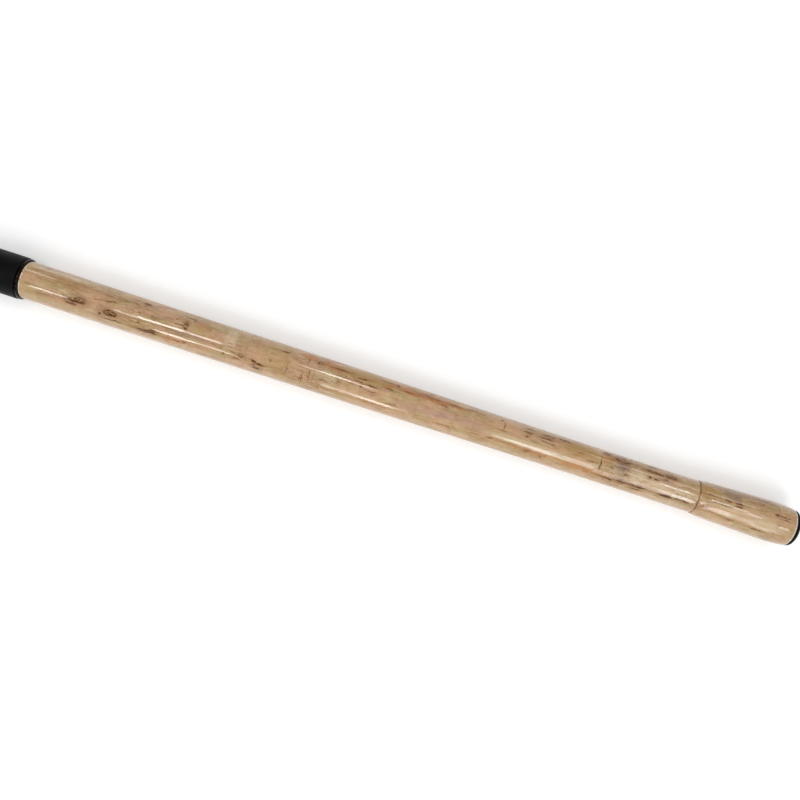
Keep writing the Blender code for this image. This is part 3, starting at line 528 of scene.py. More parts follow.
# Marks in the cork, each a crack or a lens-shaped pore: how far its middle lies behind the cork's
# front end and across from the middle line towards the guides' side, its length and width, how dark
# it is, and how far across it leans from its front to its rear end. All are in mm, as seen from
# the camera in the level of the rod's axis; seen_place brings them down to the surface
Patch = namedtuple("Patch", "behind across length width strength lean colour", defaults=(0.0, None))
MARKS = [Patch(*row) for row in (
    (37, 2.6, 9.6, 5, 0.82), (34.4, 3.8, 10.4, 1.6, 1), (30.4, 3.3, 3.4, 1.5, 0.85),
    (32, 5.9, 8, 1.3, 0.8), (49.1, -2.1, 7.3, 0.5, 0.6, -0.7), (57.1, -3.3, 10, 0.6, 0.75, -0.8),
    (58.7, 4.3, 10.8, 4.2, 1), (60.5, 5.4, 6.4, 1, 0.9), (52.1, 6.3, 2, 1.6, 0.8),
    (49.7, 7.4, 8.7, 0.5, 0.45), (50.4, 9, 8.7, 0.5, 0.4), (61.7, 8.2, 14.7, 0.8, 0.85),
    (81.4, -9.2, 7.2, 1.4, 0.9), (73.1, -9.6, 6.7, 0.6, 0.5), (75.1, -7, 2.7, 1.1, 0.5),
    (79.7, -7.4, 1.7, 0.9, 0.5), (78.7, -2.5, 4, 0.7, 0.5), (87.8, -1.9, 5.3, 0.7, 0.5),
    (78.1, 4.3, 2.1, 1, 0.9), (74.4, 4.5, 5.3, 0.5, 0.55), (85.7, 8.2, 15.3, 1.7, 1),
    (90.1, 6.7, 6, 1.7, 0.8), (109.6, -3.6, 3.4, 5.6, 1), (104.4, -2.9, 8, 0.8, 0.6),
    (102.8, -5.9, 2.3, 0.9, 0.5), (112.1, -9.2, 10, 0.9, 0.65), (115.1, -8.1, 2, 0.9, 0.65),
    (111.8, 7.5, 2.7, 1.1, 0.55), (105.1, 8.1, 17.3, 0.6, 0.4), (132.4, 10.7, 6, 0.8, 0.5),
    (138.7, 6, 1.3, 1.1, 0.85), (145.1, 3.4, 4.7, 0.8, 0.55), (150.4, 4.3, 4.7, 2.3, 0.6),
    (147.8, 6.9, 4.7, 1.1, 0.55), (159.8, 5, 4.3, 1.3, 0.95, 0.7), (164.8, 6.1, 6.7, 1.1, 1),
    (160.5, 7.2, 3.3, 0.8, 0.65, -0.8), (163.1, 8.9, 5.7, 1.2, 1), (179.5, -7.6, 6.3, 0.9, 0.6),
    (170.5, 1.1, 1.7, 2, 0.4), (182.2, 3.3, 0.7, 6, 0.5), (192.1, 6.2, 0.7, 2.3, 0.65),
    (193.3, 5.7, 0.7, 4.7, 0.65, 0.4), (195.1, -6.7, 0.8, 5.3, 0.45), (197.8, 3.3, 0.7, 8.7, 0.6, 0.5),
    (200.8, 2.6, 0.6, 6, 0.35), (203.1, -7.7, 4.3, 2.9, 0.6), (217.5, -7.5, 9.3, 1.1, 0.68),
    (233.2, -6.1, 7.3, 0.9, 0.72, -0.5), (230.5, -3.6, 8, 0.7, 0.65), (240.2, -3.4, 10, 1, 0.7),
    (233.2, -0.7, 2.9, 1.1, 0.65), (240.5, 0.3, 12, 0.6, 0.45), (217.8, 0.5, 3.3, 2.1, 0.36),
    (207.1, 2.3, 7.3, 0.6, 0.45, -0.5), (251.2, -9.1, 13.3, 0.8, 0.6), (257.2, -8.9, 2.3, 1.5, 0.9),
    (251.8, -5.1, 7.3, 1.6, 0.46), (241.8, 7.7, 10.7, 0.7, 0.35), (265.2, -7.1, 8.7, 0.8, 0.55),
    (274.5, -8.7, 10.7, 0.9, 0.6), (282.5, -8.2, 11.3, 0.8, 0.75), (297.2, -8.3, 14.7, 0.8, 0.65),
    (290.5, -5.8, 6, 1, 0.45), (309.2, -8.7, 9.3, 0.9, 0.55), (271.2, 5.6, 8, 0.7, 0.4),
    (293.2, 6.5, 10.7, 0.6, 0.4), (315.2, 5.5, 8, 0.7, 0.45), (325.5, 4.9, 5.3, 0.7, 0.65),
    (330.2, -8.7, 2.7, 0.9, 0.5), (332.8, -5.8, 0.9, 4.7, 0.55), (331.5, -2.5, 8.7, 0.7, 0.55),
    (349.5, -8.7, 5.3, 1.1, 0.6), (349.2, -6.4, 6, 1.1, 0.6), (348.8, -3.7, 2.1, 1.5, 0.6),
    (362.6, -6.2, 10.7, 0.7, 0.75), (362.9, -3.8, 8.7, 0.7, 0.6, 1.5), (363.2, -8.2, 11.3, 1.5, 0.6),
    (373.9, -8.7, 10, 1.3, 0.75), (367.2, -3.7, 2.1, 1.3, 0.55), (351.9, 5.1, 3.7, 2.4, 0.5),
    (361.2, 6.6, 2, 1.3, 0.45), (338.5, 4.6, 17.3, 0.6, 0.35), (374.6, 7.3, 4.7, 0.8, 0.4),
    (387.9, -4.4, 6, 0.7, 0.45), (403.9, -9.1, 6, 1.4, 1), (395.9, -1.1, 8.7, 0.7, 0.5),
    (401.4, -1.1, 0.9, 7.3, 0.9, 0.9), (415.2, -8, 12, 2.5, 1), (415.2, -9.5, 3.3, 1, 0.8),
    (408.9, -1.4, 2.3, 1.2, 0.6), (419.6, 0.3, 2.4, 1.2, 0.6), (417, -2.7, 0.9, 2.7, 0.45),
    (405.9, 6.3, 12.7, 0.9, 0.6), (409.9, 6.5, 2.9, 1.1, 0.9), (417.9, 5.3, 8.3, 2.4, 1),
    (429.3, 5.3, 16, 1.5, 1), (428.6, 7.5, 10.7, 0.8, 0.55), (448.6, 5.5, 10.7, 1.6, 1),
    (460.6, 5.2, 13.3, 1.2, 0.8), (435.6, -9.7, 8, 0.9, 0.8), (438, -7, 14, 1.4, 0.85),
    (448.8, -7.5, 7.8, 2.5, 1), (435.5, -3.1, 2.9, 1.5, 0.9), (440.3, -2.9, 3.6, 1.1, 0.8),
    (445.9, -4.6, 6, 1.3, 0.8), (447.3, -2.7, 10.7, 0.5, 0.45), (479.6, -4.7, 9.3, 0.7, 0.55),
    (490.3, -4.3, 5.3, 1.6, 0.65), (497.6, -4.6, 6.7, 1.2, 0.85), (498.3, -2.7, 5.7, 0.8, 0.65),
    (482.6, -0.7, 5.3, 0.7, 0.4), (489.3, -0.7, 9.3, 0.9, 0.5), (524.4, -5.3, 2.3, 1.5, 0.85),
    (530, -5.4, 10, 0.7, 0.65), (531.6, -3.4, 6.7, 0.7, 0.5), (512.6, 8.2, 8.7, 1, 0.6),
    (493.6, 7.3, 4, 0.8, 0.45), (485.3, 6.6, 13.3, 0.7, 0.35), (512.6, -11.6, 12.7, 0.9, 0.7),
    (513, -9.1, 2, 1, 0.55),
)]

# Soft patches of another tone: the tone, then its place, size and strength as a mark's. The pale
# patches from 200 mm behind the front end rearwards, the faint pale one at 21.7 mm and the two very
# pale streaks are painted highlights that widen the film's glints; the thin pale one at 20 mm, far
# across on the upper edge, is a painted reflection; the brown one along the upper edge near the butt
# darkens that edge
TINTS_AND_SHEEN = [Patch(*row, colour=colour) for colour, *row in (
    (PALE_AND_SHEEN, 141.1, -4.1, 9.3, 14.7, 0.65), (ORANGE, 195.1, -9.4, 16, 4, 0.8),
    (ORANGE, 213.8, -8.5, 28, 4.4, 0.75), (GOLD, 236.5, -8.8, 44, 5, 0.85),
    (GOLD, 238.5, -4.7, 21.3, 4, 0.45), (ORANGE, 278.5, -8.2, 66, 4.6, 0.85),
    (PINK, 333.9, -6.1, 24, 9.3, 0.75), (GOLD, 385.2, -6.9, 36, 9.6, 0.75),
    (ORANGE, 405.9, -6.7, 12, 6.7, 0.5), (ORANGE, 355.2, 4.9, 49.4, 3.3, 0.45),
    (ORANGE, 389.9, 5.3, 36, 4, 0.6), (GOLD, 431.9, 5.3, 77.4, 3.3, 0.6),
    (GREY, 416.2, -3.4, 10.3, 10, 0.85), (PALE_AND_SHEEN, 427.3, -1.4, 10.3, 12, 0.85),
    (GOLD, 475.9, -6.7, 14.7, 9.3, 0.7), (GREY, 492.6, -8.1, 14.7, 6, 0.6),
    (ORANGE, 103.1, 8.9, 16, 4, 0.45), (ORANGE, 120.4, -6.1, 10.7, 7.3, 0.32),
    (GOLD, 28.4, -6.7, 42.7, 6.7, 0.3), (GREY, 32.4, 5.6, 8.7, 3.3, 0.55),
    (GREY, 111.8, 2.6, 42.7, 3.3, 0.45), (GOLD, 176.5, 1.9, 14.7, 17.3, 0.28),
    (PINK, 195.1, 1.9, 14.7, 14.7, 0.3), (PALE_AND_SHEEN, 395.2, 1.3, 11.3, 4.7, 0.4),
    (PALE_AND_SHEEN, 451.3, 0.6, 36, 6, 0.6), (PALE_AND_SHEEN, 510, 0.6, 36, 9.3, 0.22), (BROWN, 11, 6.3, 17.3, 3.3, 0.4),
    (PALE_AND_SHEEN, 20, -10.3, 40, 1.7, 0.8), (PALE_AND_SHEEN, 47, 6.8, 10, 2.4, 0.45), (BROWN, 82, 2.6, 24, 1.3, 0.35),
    (GREY, 95, -3, 26, 2, 0.3), (PINK, 81.7, -6.1, 10.7, 6, 0.4), (GOLD, 221.8, 7.9, 60, 3.3, 0.3),
    (PALE_AND_SHEEN, 352, 1.8, 62, 5, 0.55), (PALE_AND_SHEEN, 435.3, -0.4, 66.7, 6, 0.5), (PALE_AND_SHEEN, 488.6, 0.3, 40, 3.3, 0.5),
    (PALE_AND_SHEEN, 520, 4.2, 30, 7.4, 0.6), (PALE_AND_SHEEN, 21.7, 0.6, 40, 4, 0.25), (BROWN, 498.6, -10.9, 56, 3.3, 0.5),
    (PALE_AND_SHEEN, 448.6, 7.3, 40, 5.3, 0.45), (PALE_AND_SHEEN, 209.1, 0.9, 16.7, 11, 0.35), (ROSE, 276, 1.6, 38, 6, 0.3),
    (ROSE, 303, -0.4, 40, 7.4, 0.26), (PAINTED_HIGHLIGHT, 459.6, 3.4, 18, 2.4, 0.45),
    (PAINTED_HIGHLIGHT, 459.2, -1.5, 14, 1.3, 0.5),
)]
# Half the width of the glue line between the grip and the flared butt
GLUE_LINE = 0.0006


def handle_r(x):
    """Radius of the handle at a place along the rod."""
    if x < GRIP_REAR:
        return swell_r(max(0.0, x - CORK_REAR))
    return grip_r(x - GRIP_REAR)


def seen_place(behind, across):
    """Brings a place that is seen in the level of the rod's axis down to the handle's surface."""
    x = CORK_FRONT - behind * MM
    y = across * MM
    for _ in range(3):
        radius = handle_r(x)
        height = sqrt(max(0.0, radius * radius - y * y))
        share = (EYE_HEIGHT - height) / EYE_HEIGHT
        x = EYE_X + (CORK_FRONT - behind * MM - EYE_X) * share
        y = EYE_Y + (across * MM - EYE_Y) * share
    return x, y, height


class Cork(Finish):
    """Cork rings under a clear glossy film. The film is the coat, which is as smooth as the mesh."""

    def __init__(self, name, rear, front, start, pitch, seed):
        super().__init__(name, 0.6, coat=1.0, coat_roughness=0.045, specular=0.15)
        self.rear = rear
        self.front = front
        x, self.angle = self.round_rod()
        self.along = self.math("DIVIDE", self.math("SUBTRACT", x, start), pitch)
        ring = {"W": self.math("ADD", self.math("FLOOR", self.along), seed)}
        self.ring_value, self.ring_colour = self.add("TexWhiteNoise", ring, noise_dimensions="1D")
        shift = self.vector("MULTIPLY", self.ring_colour, (0.004, 0.004, 0.004))
        local = self.vector("ADD", self.place, shift)

        # Wandering coordinates, which make every edge that is placed by them ragged
        push_x, push_y, _ = self.parts(self.noise((260, 700), 4, 0.7, output=1))
        self.x = self.line(self.math("SUBTRACT", push_x, 0.5), 0.0040, x)
        self.turn = self.line(self.math("SUBTRACT", push_y, 0.5), 0.26, self.angle)

        self.hue = self.noise((48, 150), 3, 0.55, local)
        self.patches = self.noise((110, 330), 4, 0.6, local)
        self.grain = self.noise((700, 1900), 3, 0.6, local)
        self.fibres = self.noise((95, 760), 3, 0.6, local)
        self.regions = self.noise((26, 60), 1)
        self.cracks = self.ramp(self.noise((300, 1200)), 0.50, 0.58)
        self.broken = self.ramp(self.grain, 0.38, 0.56, 0.40, 1.0)

    def holds(self, x, reach):
        """Whether a place lies in this piece, or within a reach of its ends."""
        return self.rear - reach < x < self.front + reach

    def near(self, patches):
        """The marks or tints that reach into this piece, each with how far a place is from it."""
        for patch in patches:
            x, y, height = seen_place(patch.behind, patch.across)
            if self.holds(x, patch.length * MM * 0.75 + 0.001):
                yield patch, self.distance(patch, x, atan2(y, height), height)

    def distance(self, patch, x, turn, height):
        """Distance from the middle of a mark or tint, which is 1 along its edge."""
        half = patch.length * MM / 2
        reach = patch.width * MM / 2 / height
        lengthwise = self.line(self.x, -1 / half, x / half)
        sideways = self.line(self.turn, 1 / reach, -turn / reach)
        if patch.lean:
            sideways = self.line(lengthwise, -patch.lean / patch.width, sideways)
        return self.vector("LENGTH", self.add("CombineXYZ", {0: lengthwise, 1: sideways})[0])

    def tones(self):
        """The cork's own colour with its tints and streaks. Some of the tints are not the cork's own: they
        are painted highlights beside the film's glints and a painted reflection on the upper edge.
        """
        colour = OLIVE
        for tone, *ramp in ((PINK, self.hue, 0.38, 0.62), (PALE_AND_SHEEN, self.patches, 0.50, 0.72, 0.0, 0.50),
                            (BROWN, self.patches, 0.50, 0.28, 0.0, 0.55),
                            (BROWN, self.ring_value, 0.3, 1.0, 0.0, 0.11),
                            (BROWN, self.grain, 0.45, 0.72, 0.0, 0.32)):
            colour = self.over(colour, tone, *ramp)
        # Tints, some of which are painted highlights and a painted reflection
        for tint, distance in self.near(TINTS_AND_SHEEN):
            soft = self.line(self.math("SUBTRACT", self.patches, 0.5), 1.6, distance)
            colour = self.over(colour, tint.colour, soft, 1.25, 0.55, 0.0, tint.strength)
        streaky = self.ramp(self.regions, 0.42, 0.62, 0.22, 0.75)
        return self.mix(self.times(self.ramp(self.fibres, 0.54, 0.68), streaky), colour, BROWN)

    def shade(self, mark, distance):
        """How dark one mark makes the cork: a filled crack, or a pore with a dark rim and cracks inside."""
        inside = self.ramp(distance, 1.12, 0.66, 0.0, mark.strength)
        if min(mark.width, mark.length) < 2.0:
            return self.times(inside, self.broken)
        core = self.times(self.ramp(distance, 0.84, 0.58, 1.0, 0.22), self.broken)
        return self.times(inside, self.larger(core, self.cracks))

    def unseen_pores(self):
        """Pores on the side that the photograph doesn't show: a lens in some cells of a net."""
        net = self.add("CombineXYZ", {0: self.times(self.x, 100), 1: self.times(self.turn, 2.4)})[0]
        cell = self.add("TexVoronoi", {"Vector": net, "Scale": 1})
        chance, darkness, _ = self.parts(cell["Color"])
        pore = self.times(self.ramp(cell["Distance"], 0.30, 0.12), self.ramp(chance, 0.55, 0.72))
        pore = self.times(pore, self.ramp(darkness, 0.0, 1.0, 0.45, 1.0))
        unseen = self.ramp(self.math("ABSOLUTE", self.angle), 1.30, 1.70)
        return self.times(pore, self.times(unseen, self.times(self.broken, self.cracks)))

    def seams(self):
        """Faint broken lines where two rings meet, darker at some rings than at others."""
        edge = self.apart(self.math("FRACT", self.along), 0.5)
        power = self.ramp(self.parts(self.ring_colour)[1], 0.45, 1.0, 0.0, 0.35)
        seam = self.times(self.ramp(edge, 0.474, 0.496), power)
        return self.times(seam, self.ramp(self.grain, 0.40, 0.58, 0.1, 1.0))

    def finished(self):
        thin = self.ramp(self.apart(self.fibres, 0.5), 0.016, 0.004)
        pits = self.times(thin, self.ramp(self.regions, 0.50, 0.64, 0.0, 0.5))
        pits = self.larger(pits, self.unseen_pores())
        halo = 0.0
        for mark, distance in self.near(MARKS):
            pits = self.larger(pits, self.shade(mark, distance))
            halo = self.larger(halo, self.ramp(distance, 2.5, 0.9, 0.0, mark.strength * 0.55))
        if self.holds(GRIP_REAR, GLUE_LINE):
            glue = self.ramp(self.apart(self.x, GRIP_REAR), GLUE_LINE, GLUE_LINE * 0.3)
            pits = self.larger(pits, self.times(glue, self.ramp(self.hue, 0.62, 0.40, 0.15, 0.65)))
        seam = self.seams()
        colour = self.mix(seam, self.mix(halo, self.tones(), BROWN), FLECK)
        # A pale line painted round each end of the cork: a painted highlight where the rounded edge meets the
        # light
        for end, reach in ((CORK_FRONT, 0.0010), (CORK_REAR, 0.0016)):
            if self.holds(end, reach):
                colour = self.over(colour, PAINTED_HIGHLIGHT, self.apart(self.x, end), reach, reach * 0.4, 0.0, 0.85)
        colour = self.over(colour, FLECK, pits, 0.04, 0.50, 0.0, 0.85)
        colour = self.over(colour, PIT, pits, 0.45, 0.95)
        height = self.line(seam, -0.5, self.line(self.grain, 0.25, self.times(pits, -1)))
        return self.done(colour, normal=self.bump(height, 0.00025, 0.6))


def cap_finish():
    cap = Finish("butt_cap_rubber", 0.42, specular=0.14)
    dust = cap.noise(420, 4, 0.7)
    colour = cap.over((0.004, 0.004, 0.0045), (0.012, 0.011, 0.010), dust, 0.45, 0.80, 0.0, 0.5)
    return cap.done(colour, cap.ramp(dust, 0.35, 0.7, 0.36, 0.55), cap.bump(cap.noise(5200), 0.00006, 0.5))


def trim_finish():
    """Polished near-black resin, which shows a little brown."""
    trim = Finish("trim_gloss", 0.16, specular=0.16)
    colour = trim.over((0.003, 0.0015, 0.001), (0.014, 0.005, 0.003), trim.noise(600, 3), 0.4, 0.7)
    return trim.done(colour, trim.ramp(trim.noise((4000, 500)), 0.5, 0.8, 0.10, 0.28))


def seat_finish():
    """Moulded matte plastic, with a fine grain and edges that handling has polished a little. The edges are
    also painted lighter: partly rubbed wear, partly a painted highlight that picks them out.
    """
    seat = Finish("reel_seat_matte", 0.55, specular=0.11)
    cloud = seat.noise(160, 4)
    edge = seat.ramp(seat.add("NewGeometry")["Pointiness"], 0.52, 0.62)
    colour = seat.over((0.0024, 0.0029, 0.0028), (0.0046, 0.0050, 0.0048), cloud, 0.35, 0.7)
    # Edges painted lighter: part rubbed wear, part painted highlight
    colour = seat.mix(seat.times(edge, 0.5), colour, (0.024, 0.025, 0.025))
    rough = seat.line(edge, -0.15, seat.ramp(cloud, 0.3, 0.7, 0.46, 0.60))
    return seat.done(colour, rough, seat.bump(seat.noise(4200, 3, 0.6), 0.00005, 0.6))


def blank_finish():
    """Varnished carbon: a faint spiral of the tape that bound it, and a tight weave below."""
    blank = Finish("blank_carbon", 0.34, coat=1.0, coat_roughness=0.06)
    ridge = blank.apart(blank.wound(TAPE_WIDTH), 0.5)
    tows = blank.noise((60, 2400))
    colour = blank.over((0.006, 0.006, 0.007), (0.020, 0.021, 0.024), tows, 0.40, 0.68)
    colour = blank.over(colour, (0.004, 0.004, 0.005), ridge, 0.40, 0.50, 0.0, 0.5)
    height = blank.line(tows, 0.3, ridge)
    return blank.done(colour, blank.ramp(tows, 0.3, 0.7, 0.28, 0.42), blank.bump(height, 0.00008, 0.5))


def thread_finish():
    """Black thread, wound side by side, under a thick clear varnish, with painted shading across each turn.
    """
    thread = Finish("whipping_thread", 0.4, coat=1.0, coat_roughness=0.035, specular=0.4)
    top = thread.math("SINE", thread.times(thread.wound(THREAD_WIDTH), pi))
    fuzz = thread.noise((900, 3000))
    # The crown of each turn is painted lighter than the groove between turns: painted shading of the round
    # turns
    colour = thread.mix(top, (0.003, 0.003, 0.003), (0.018, 0.018, 0.020))
    colour = thread.over(colour, (0.028, 0.028, 0.031), fuzz, 0.4, 0.8, 0.0, 0.5)
    return thread.done(colour, thread.ramp(fuzz, 0.3, 0.7, 0.34, 0.5), thread.bump(top, 0.00006, 0.7))


def frame_finish():
    """Dark plated steel, brushed round the wire."""
    steel = Finish("guide_frame_steel", 0.3, metallic=1.0)
    brush = steel.noise((2600, 700), 3)
    cloud = steel.noise(220, 3)
    colour = steel.over((0.050, 0.051, 0.056), (0.092, 0.093, 0.100), cloud, 0.35, 0.7)
    return steel.done(colour, steel.ramp(brush, 0.3, 0.75, 0.22, 0.42), steel.bump(brush, 0.00003, 0.4))


def ceramic_finish():
    ceramic = Finish("guide_ceramic", 0.09, coat=0.5)
    cloud = ceramic.noise(900, 3)
    colour = ceramic.over((0.022, 0.022, 0.026), (0.040, 0.041, 0.047), cloud, 0.35, 0.7)
    return ceramic.done(colour, ceramic.ramp(cloud, 0.3, 0.7, 0.07, 0.14))


def clip_finish():
    clip = Finish("clip_spring_steel", 0.25, metallic=1.0)
    brush = clip.noise((300, 4000))
    colour = clip.mix(brush, (0.52, 0.52, 0.54), (0.68, 0.68, 0.70))
    return clip.done(colour, clip.ramp(brush, 0.3, 0.7, 0.18, 0.34), clip.bump(brush, 0.00002, 0.4))


def arbor_finish():
    arbor = Finish("arbor_foam", 0.85)
    cells = arbor.add("TexVoronoi", {"Vector": arbor.place, "Scale": 2400})["Distance"]
    colour = arbor.over((0.13, 0.13, 0.125), (0.06, 0.06, 0.06), cells, 0.2, 0.6)
    return arbor.done(colour, normal=arbor.bump(cells, 0.0001, 0.6))


# The finish of each slot, except that every piece of cork has its own
LOOKS = {
    "butt_cap": cap_finish(),
    "trim": trim_finish(),
    "reel_seat": seat_finish(),
    "carbon": blank_finish(),
    "whipping": thread_finish(),
    "guide_frame": frame_finish(),
    "guide_ring": ceramic_finish(),
    "line_clip": clip_finish(),
}


# Cork handle

FILM_STEPS = 160
FILM_ROW = 0.0006
CORK_EDGE = 0.0005
# Ripples of the film: cycles a turn, height in mm, twist and phase, then the beat along the rod and
# its phase
FILM_WAVES = (
    (7, 0.050, 5.0, 0.4, 17.0, 0.3),
    (9, 0.060, -9.0, 1.9, 27.0, 2.1),
    (13, 0.030, 14.0, 4.4, 41.0, 1.2),
    (13, 0.012, -95.0, 2.7, 60.0, 0.0),
    (19, 0.006, 38.0, 0.9, 83.0, 4.0),
)


def film_shape(x, angle):
    """How far the clear film stands off a true round: long, slowly twisting flats and ripples."""
    total = 0.0
    for cycles, height, twist, phase, beat, beat_phase in FILM_WAVES:
        strength = 0.55 + 0.45 * np.sin(beat * x + beat_phase)
        total = total + height * MM * strength * np.cos(cycles * angle + twist * x + phase)
    return total


def cork_mesh(rear, front, radius_at, start, rear_round, front_round):
    """A turned sleeve of cork with its film. Each end has an edge rounded to a size, or none."""
    count = max(2, round((front - rear) / FILM_ROW))
    bore = butt_blank_r(rear) + GAP
    rows = [loop(rear, bore, FILM_STEPS)]
    for index in range(count + 1):
        x = lerp(rear, front, index / count)
        radius = radius_at(x - start) + film_shape(x, full_turn(FILM_STEPS))
        for edge, size in ((x - rear, rear_round), (front - x, front_round)):
            if edge < size:
                radius = radius - (size - sqrt(size * size - (size - edge) ** 2))
        rows.append(loop(x, radius, FILM_STEPS))
    rows.append(loop(front, bore, FILM_STEPS))
    return grid_mesh(rows, wrap=True)


def cork_sleeves(name, start, count, rings, pitch, radius_at, rear_edge, seed):
    """A stretch of the handle in pieces of one or more cork rings each."""
    for index in range(count):
        node = name.format(index + 1)
        rear = start + index * (rings * pitch)
        front = rear + rings * pitch
        finish = Cork(node, rear, front, start, pitch, seed).finished()
        rear_round = rear_edge if index == 0 else 0.0
        front_round = CORK_EDGE / 2 if index == count - 1 else 0.0
        mesh = cork_mesh(rear + SEAM, front - SEAM, radius_at, start, rear_round, front_round)
        piece(node, mesh, "cork", roll=False, finish=finish)


# Turned pieces

def butt_cap():
    """A domed button with a flat middle and a softened rim, on a spigot in the blank's bore."""
    spigot_r = butt_blank_r(CORK_REAR) - BLANK_WALL - GAP
    spigot_front = CAP_THICKNESS + SPIGOT_LENGTH
    outline = [(spigot_front, 0.0), (spigot_front, spigot_r - SPIGOT_LEAD),
               (spigot_front - SPIGOT_LEAD, spigot_r), (CAP_THICKNESS, spigot_r),
               (CAP_THICKNESS, CAP_R - CAP_RIM)]
    for index in range(19):
        angle = pi / 2 * index / 18
        x = (CAP_THICKNESS - CAP_RIM) * (1 - sin(angle))
        outline.append((x, CAP_FLAT_R + (CAP_R - CAP_FLAT_R) * cos(angle)))
    outline += [(0.0, CAP_FLAT_R * 0.5), (0.0, 0.0)]
    piece("butt_cap", turned_mesh(outline, 128), "butt_cap", smooth=35)


def seat_trims():
    """The glossy ring between the cork and the seat, and the tapered winding check in front of it."""
    front = TRIM_REAR + REAR_TRIM_WIDTH
    radius = HOOD_R - REAR_TRIM_INSET
    bore = butt_blank_r(TRIM_REAR) + GAP
    outline = sleeve(TRIM_REAR, front, bore, radius, REAR_TRIM_WIDTH * 0.42, 6)
    piece("rear_trim_ring", turned_mesh(outline, 128), "trim")

    front = FRONT_TRIM_REAR + FRONT_TRIM_LENGTH
    bore = butt_blank_r(FRONT_TRIM_REAR) + GAP
    outline = [(FRONT_TRIM_REAR, bore)]
    for index in range(29):
        share = index / 28
        radius = ease(BARREL_R - FRONT_TRIM_INSET, bore + FRONT_TRIM_WALL, share)
        for groove in (0.16, 0.26):
            radius -= FRONT_TRIM_GROOVE * exp(-((share - groove) / 0.022) ** 2)
        outline.append((lerp(FRONT_TRIM_REAR, front, share), radius))
    outline.append((front, bore))
    piece("front_trim_ring", turned_mesh(outline), "trim")


def blanks():
    """The butt section's tube and the tip section's tube, whose rear end is the ferrule."""
    lip = BLANK_LIP
    rear, front = CORK_REAR, SECTION_LENGTH
    rear_r, front_r = butt_blank_r(rear), butt_blank_r(front)
    outline = [(rear, rear_r - BLANK_WALL), (rear, rear_r), (front - lip, front_r), (front, front_r - lip),
               (front, front_r - BLANK_WALL + lip), (front - lip, front_r - BLANK_WALL)]
    piece("butt_blank", turned_mesh(outline, 64), "carbon")

    bore_end = TIP_BLANK_FRONT - TIP_BLANK_SOLID
    bore_step = SECTION_LENGTH + GAP
    outline = [(TIP_BLANK_FRONT, 0.0), (TIP_BLANK_FRONT, TIP_R - lip), (TIP_BLANK_FRONT - lip, TIP_R),
               (FERRULE_X + lip, tip_blank_r(FERRULE_X + lip)), (FERRULE_X, tip_blank_r(FERRULE_X) - lip),
               (FERRULE_X, butt_blank_r(FERRULE_X) + GAP), (bore_step, butt_blank_r(bore_step) + GAP),
               (bore_end, tip_blank_r(bore_end) - TIP_BLANK_WALL), (bore_end, 0.0)]
    piece("tip_blank", turned_mesh(outline, 64), "carbon", "tip_section")


def plain_whipping(name, rear, front, blank_r, body="butt_section"):
    """Thread round the blank alone, under varnish that flows out thin at both ends."""
    bore = blank_r + GAP
    outline = [(rear, bore)]
    for index in range(41):
        x = lerp(rear, front, index / 40)
        full = ease(WHIP_END_SHARE, 1.0, min(x - rear, front - x) / WHIP_TAPER)
        swell = 0.04 * sin(9 * index / 40 + 1.0)
        outline.append((x, bore + WHIP_THICKNESS * (full + swell)))
    outline.append((front, bore))
    piece(name, turned_mesh(outline, 72), "whipping", body, roll=False)


# Reel seat

def solid(base, *steps):
    """Applies exact Booleans to a mesh: each step is an operation and the mesh that it takes."""
    face_out(base)
    made = placed("base", base)
    helpers = [made]
    for operation, mesh in steps:
        face_out(mesh)
        helpers.append(placed("helper", mesh))
        step = made.modifiers.new(operation, "BOOLEAN")
        step.operation = operation
        step.solver = "EXACT"
        step.object = helpers[-1]
    evaluated = made.evaluated_get(bpy.context.evaluated_depsgraph_get())
    result = bpy.data.meshes.new_from_object(evaluated)
    for item in helpers:
        bpy.data.objects.remove(item, do_unlink=True)
    return result


def block(low, high):
    return grid_mesh([[(x, low[1], low[2]), (x, high[1], low[2]), (x, high[1], high[2]), (x, low[1], high[2])]
                      for x in (low[0], high[0])])


def rod_cutter(rear, front, radius, steps=96, height=0.0):
    return turned_mesh([(rear, 0.0), (rear, radius), (front, radius), (front, 0.0)], steps, height)


def arch(x, half_width, top, bottom, rounding, corner_steps=8):
    """A loop across the rod: flat below, with a round-shouldered top."""
    points = [(x, -half_width, bottom), (x, half_width, bottom)]
    for side in (1, -1):
        for index in range(corner_steps + 1):
            share = index / corner_steps if side > 0 else 1 - index / corner_steps
            angle = share * pi / 2
            y = side * (half_width - rounding + rounding * cos(angle))
            points.append((x, y, top - rounding + rounding * sin(angle)))
    return points


def hood_boss(ring_end, mouth):
    """The raised part of a hood, which rises in a smooth curve from its ring to its mouth."""
    half = POCKET_WIDTH / 2 + POCKET_WALL
    top = POCKET_CEILING + POCKET_WALL
    skirt = BED_HEIGHT - BOSS_SKIRT
    back = lerp(ring_end, mouth, -BOSS_BACK_SHARE)
    shoulder = lerp(ring_end, mouth, BOSS_SHOULDER_SHARE)
    rows = []
    for index in range(11):
        share = index / 10
        smooth = ease(0.0, 1.0, share) * 0.6 + share * 0.4
        rows.append(arch(lerp(back, shoulder, share), lerp(half - BOSS_FLARE, half, smooth),
                         lerp(HOOD_R - BOSS_FLARE, top - BOSS_FLARE / 3, smooth), skirt,
                         lerp(BOSS_ROUND / 2, BOSS_ROUND, smooth)))
    towards = copysign(1.0, mouth - ring_end)
    for behind, inwards in ((BOSS_LIP, 0.0), (BOSS_LIP * 0.3, BOSS_LIP * 0.3), (0.0, BOSS_LIP)):
        rows.append(arch(mouth - towards * behind, half - inwards, top - inwards, skirt, BOSS_ROUND))
    return grid_mesh(rows)


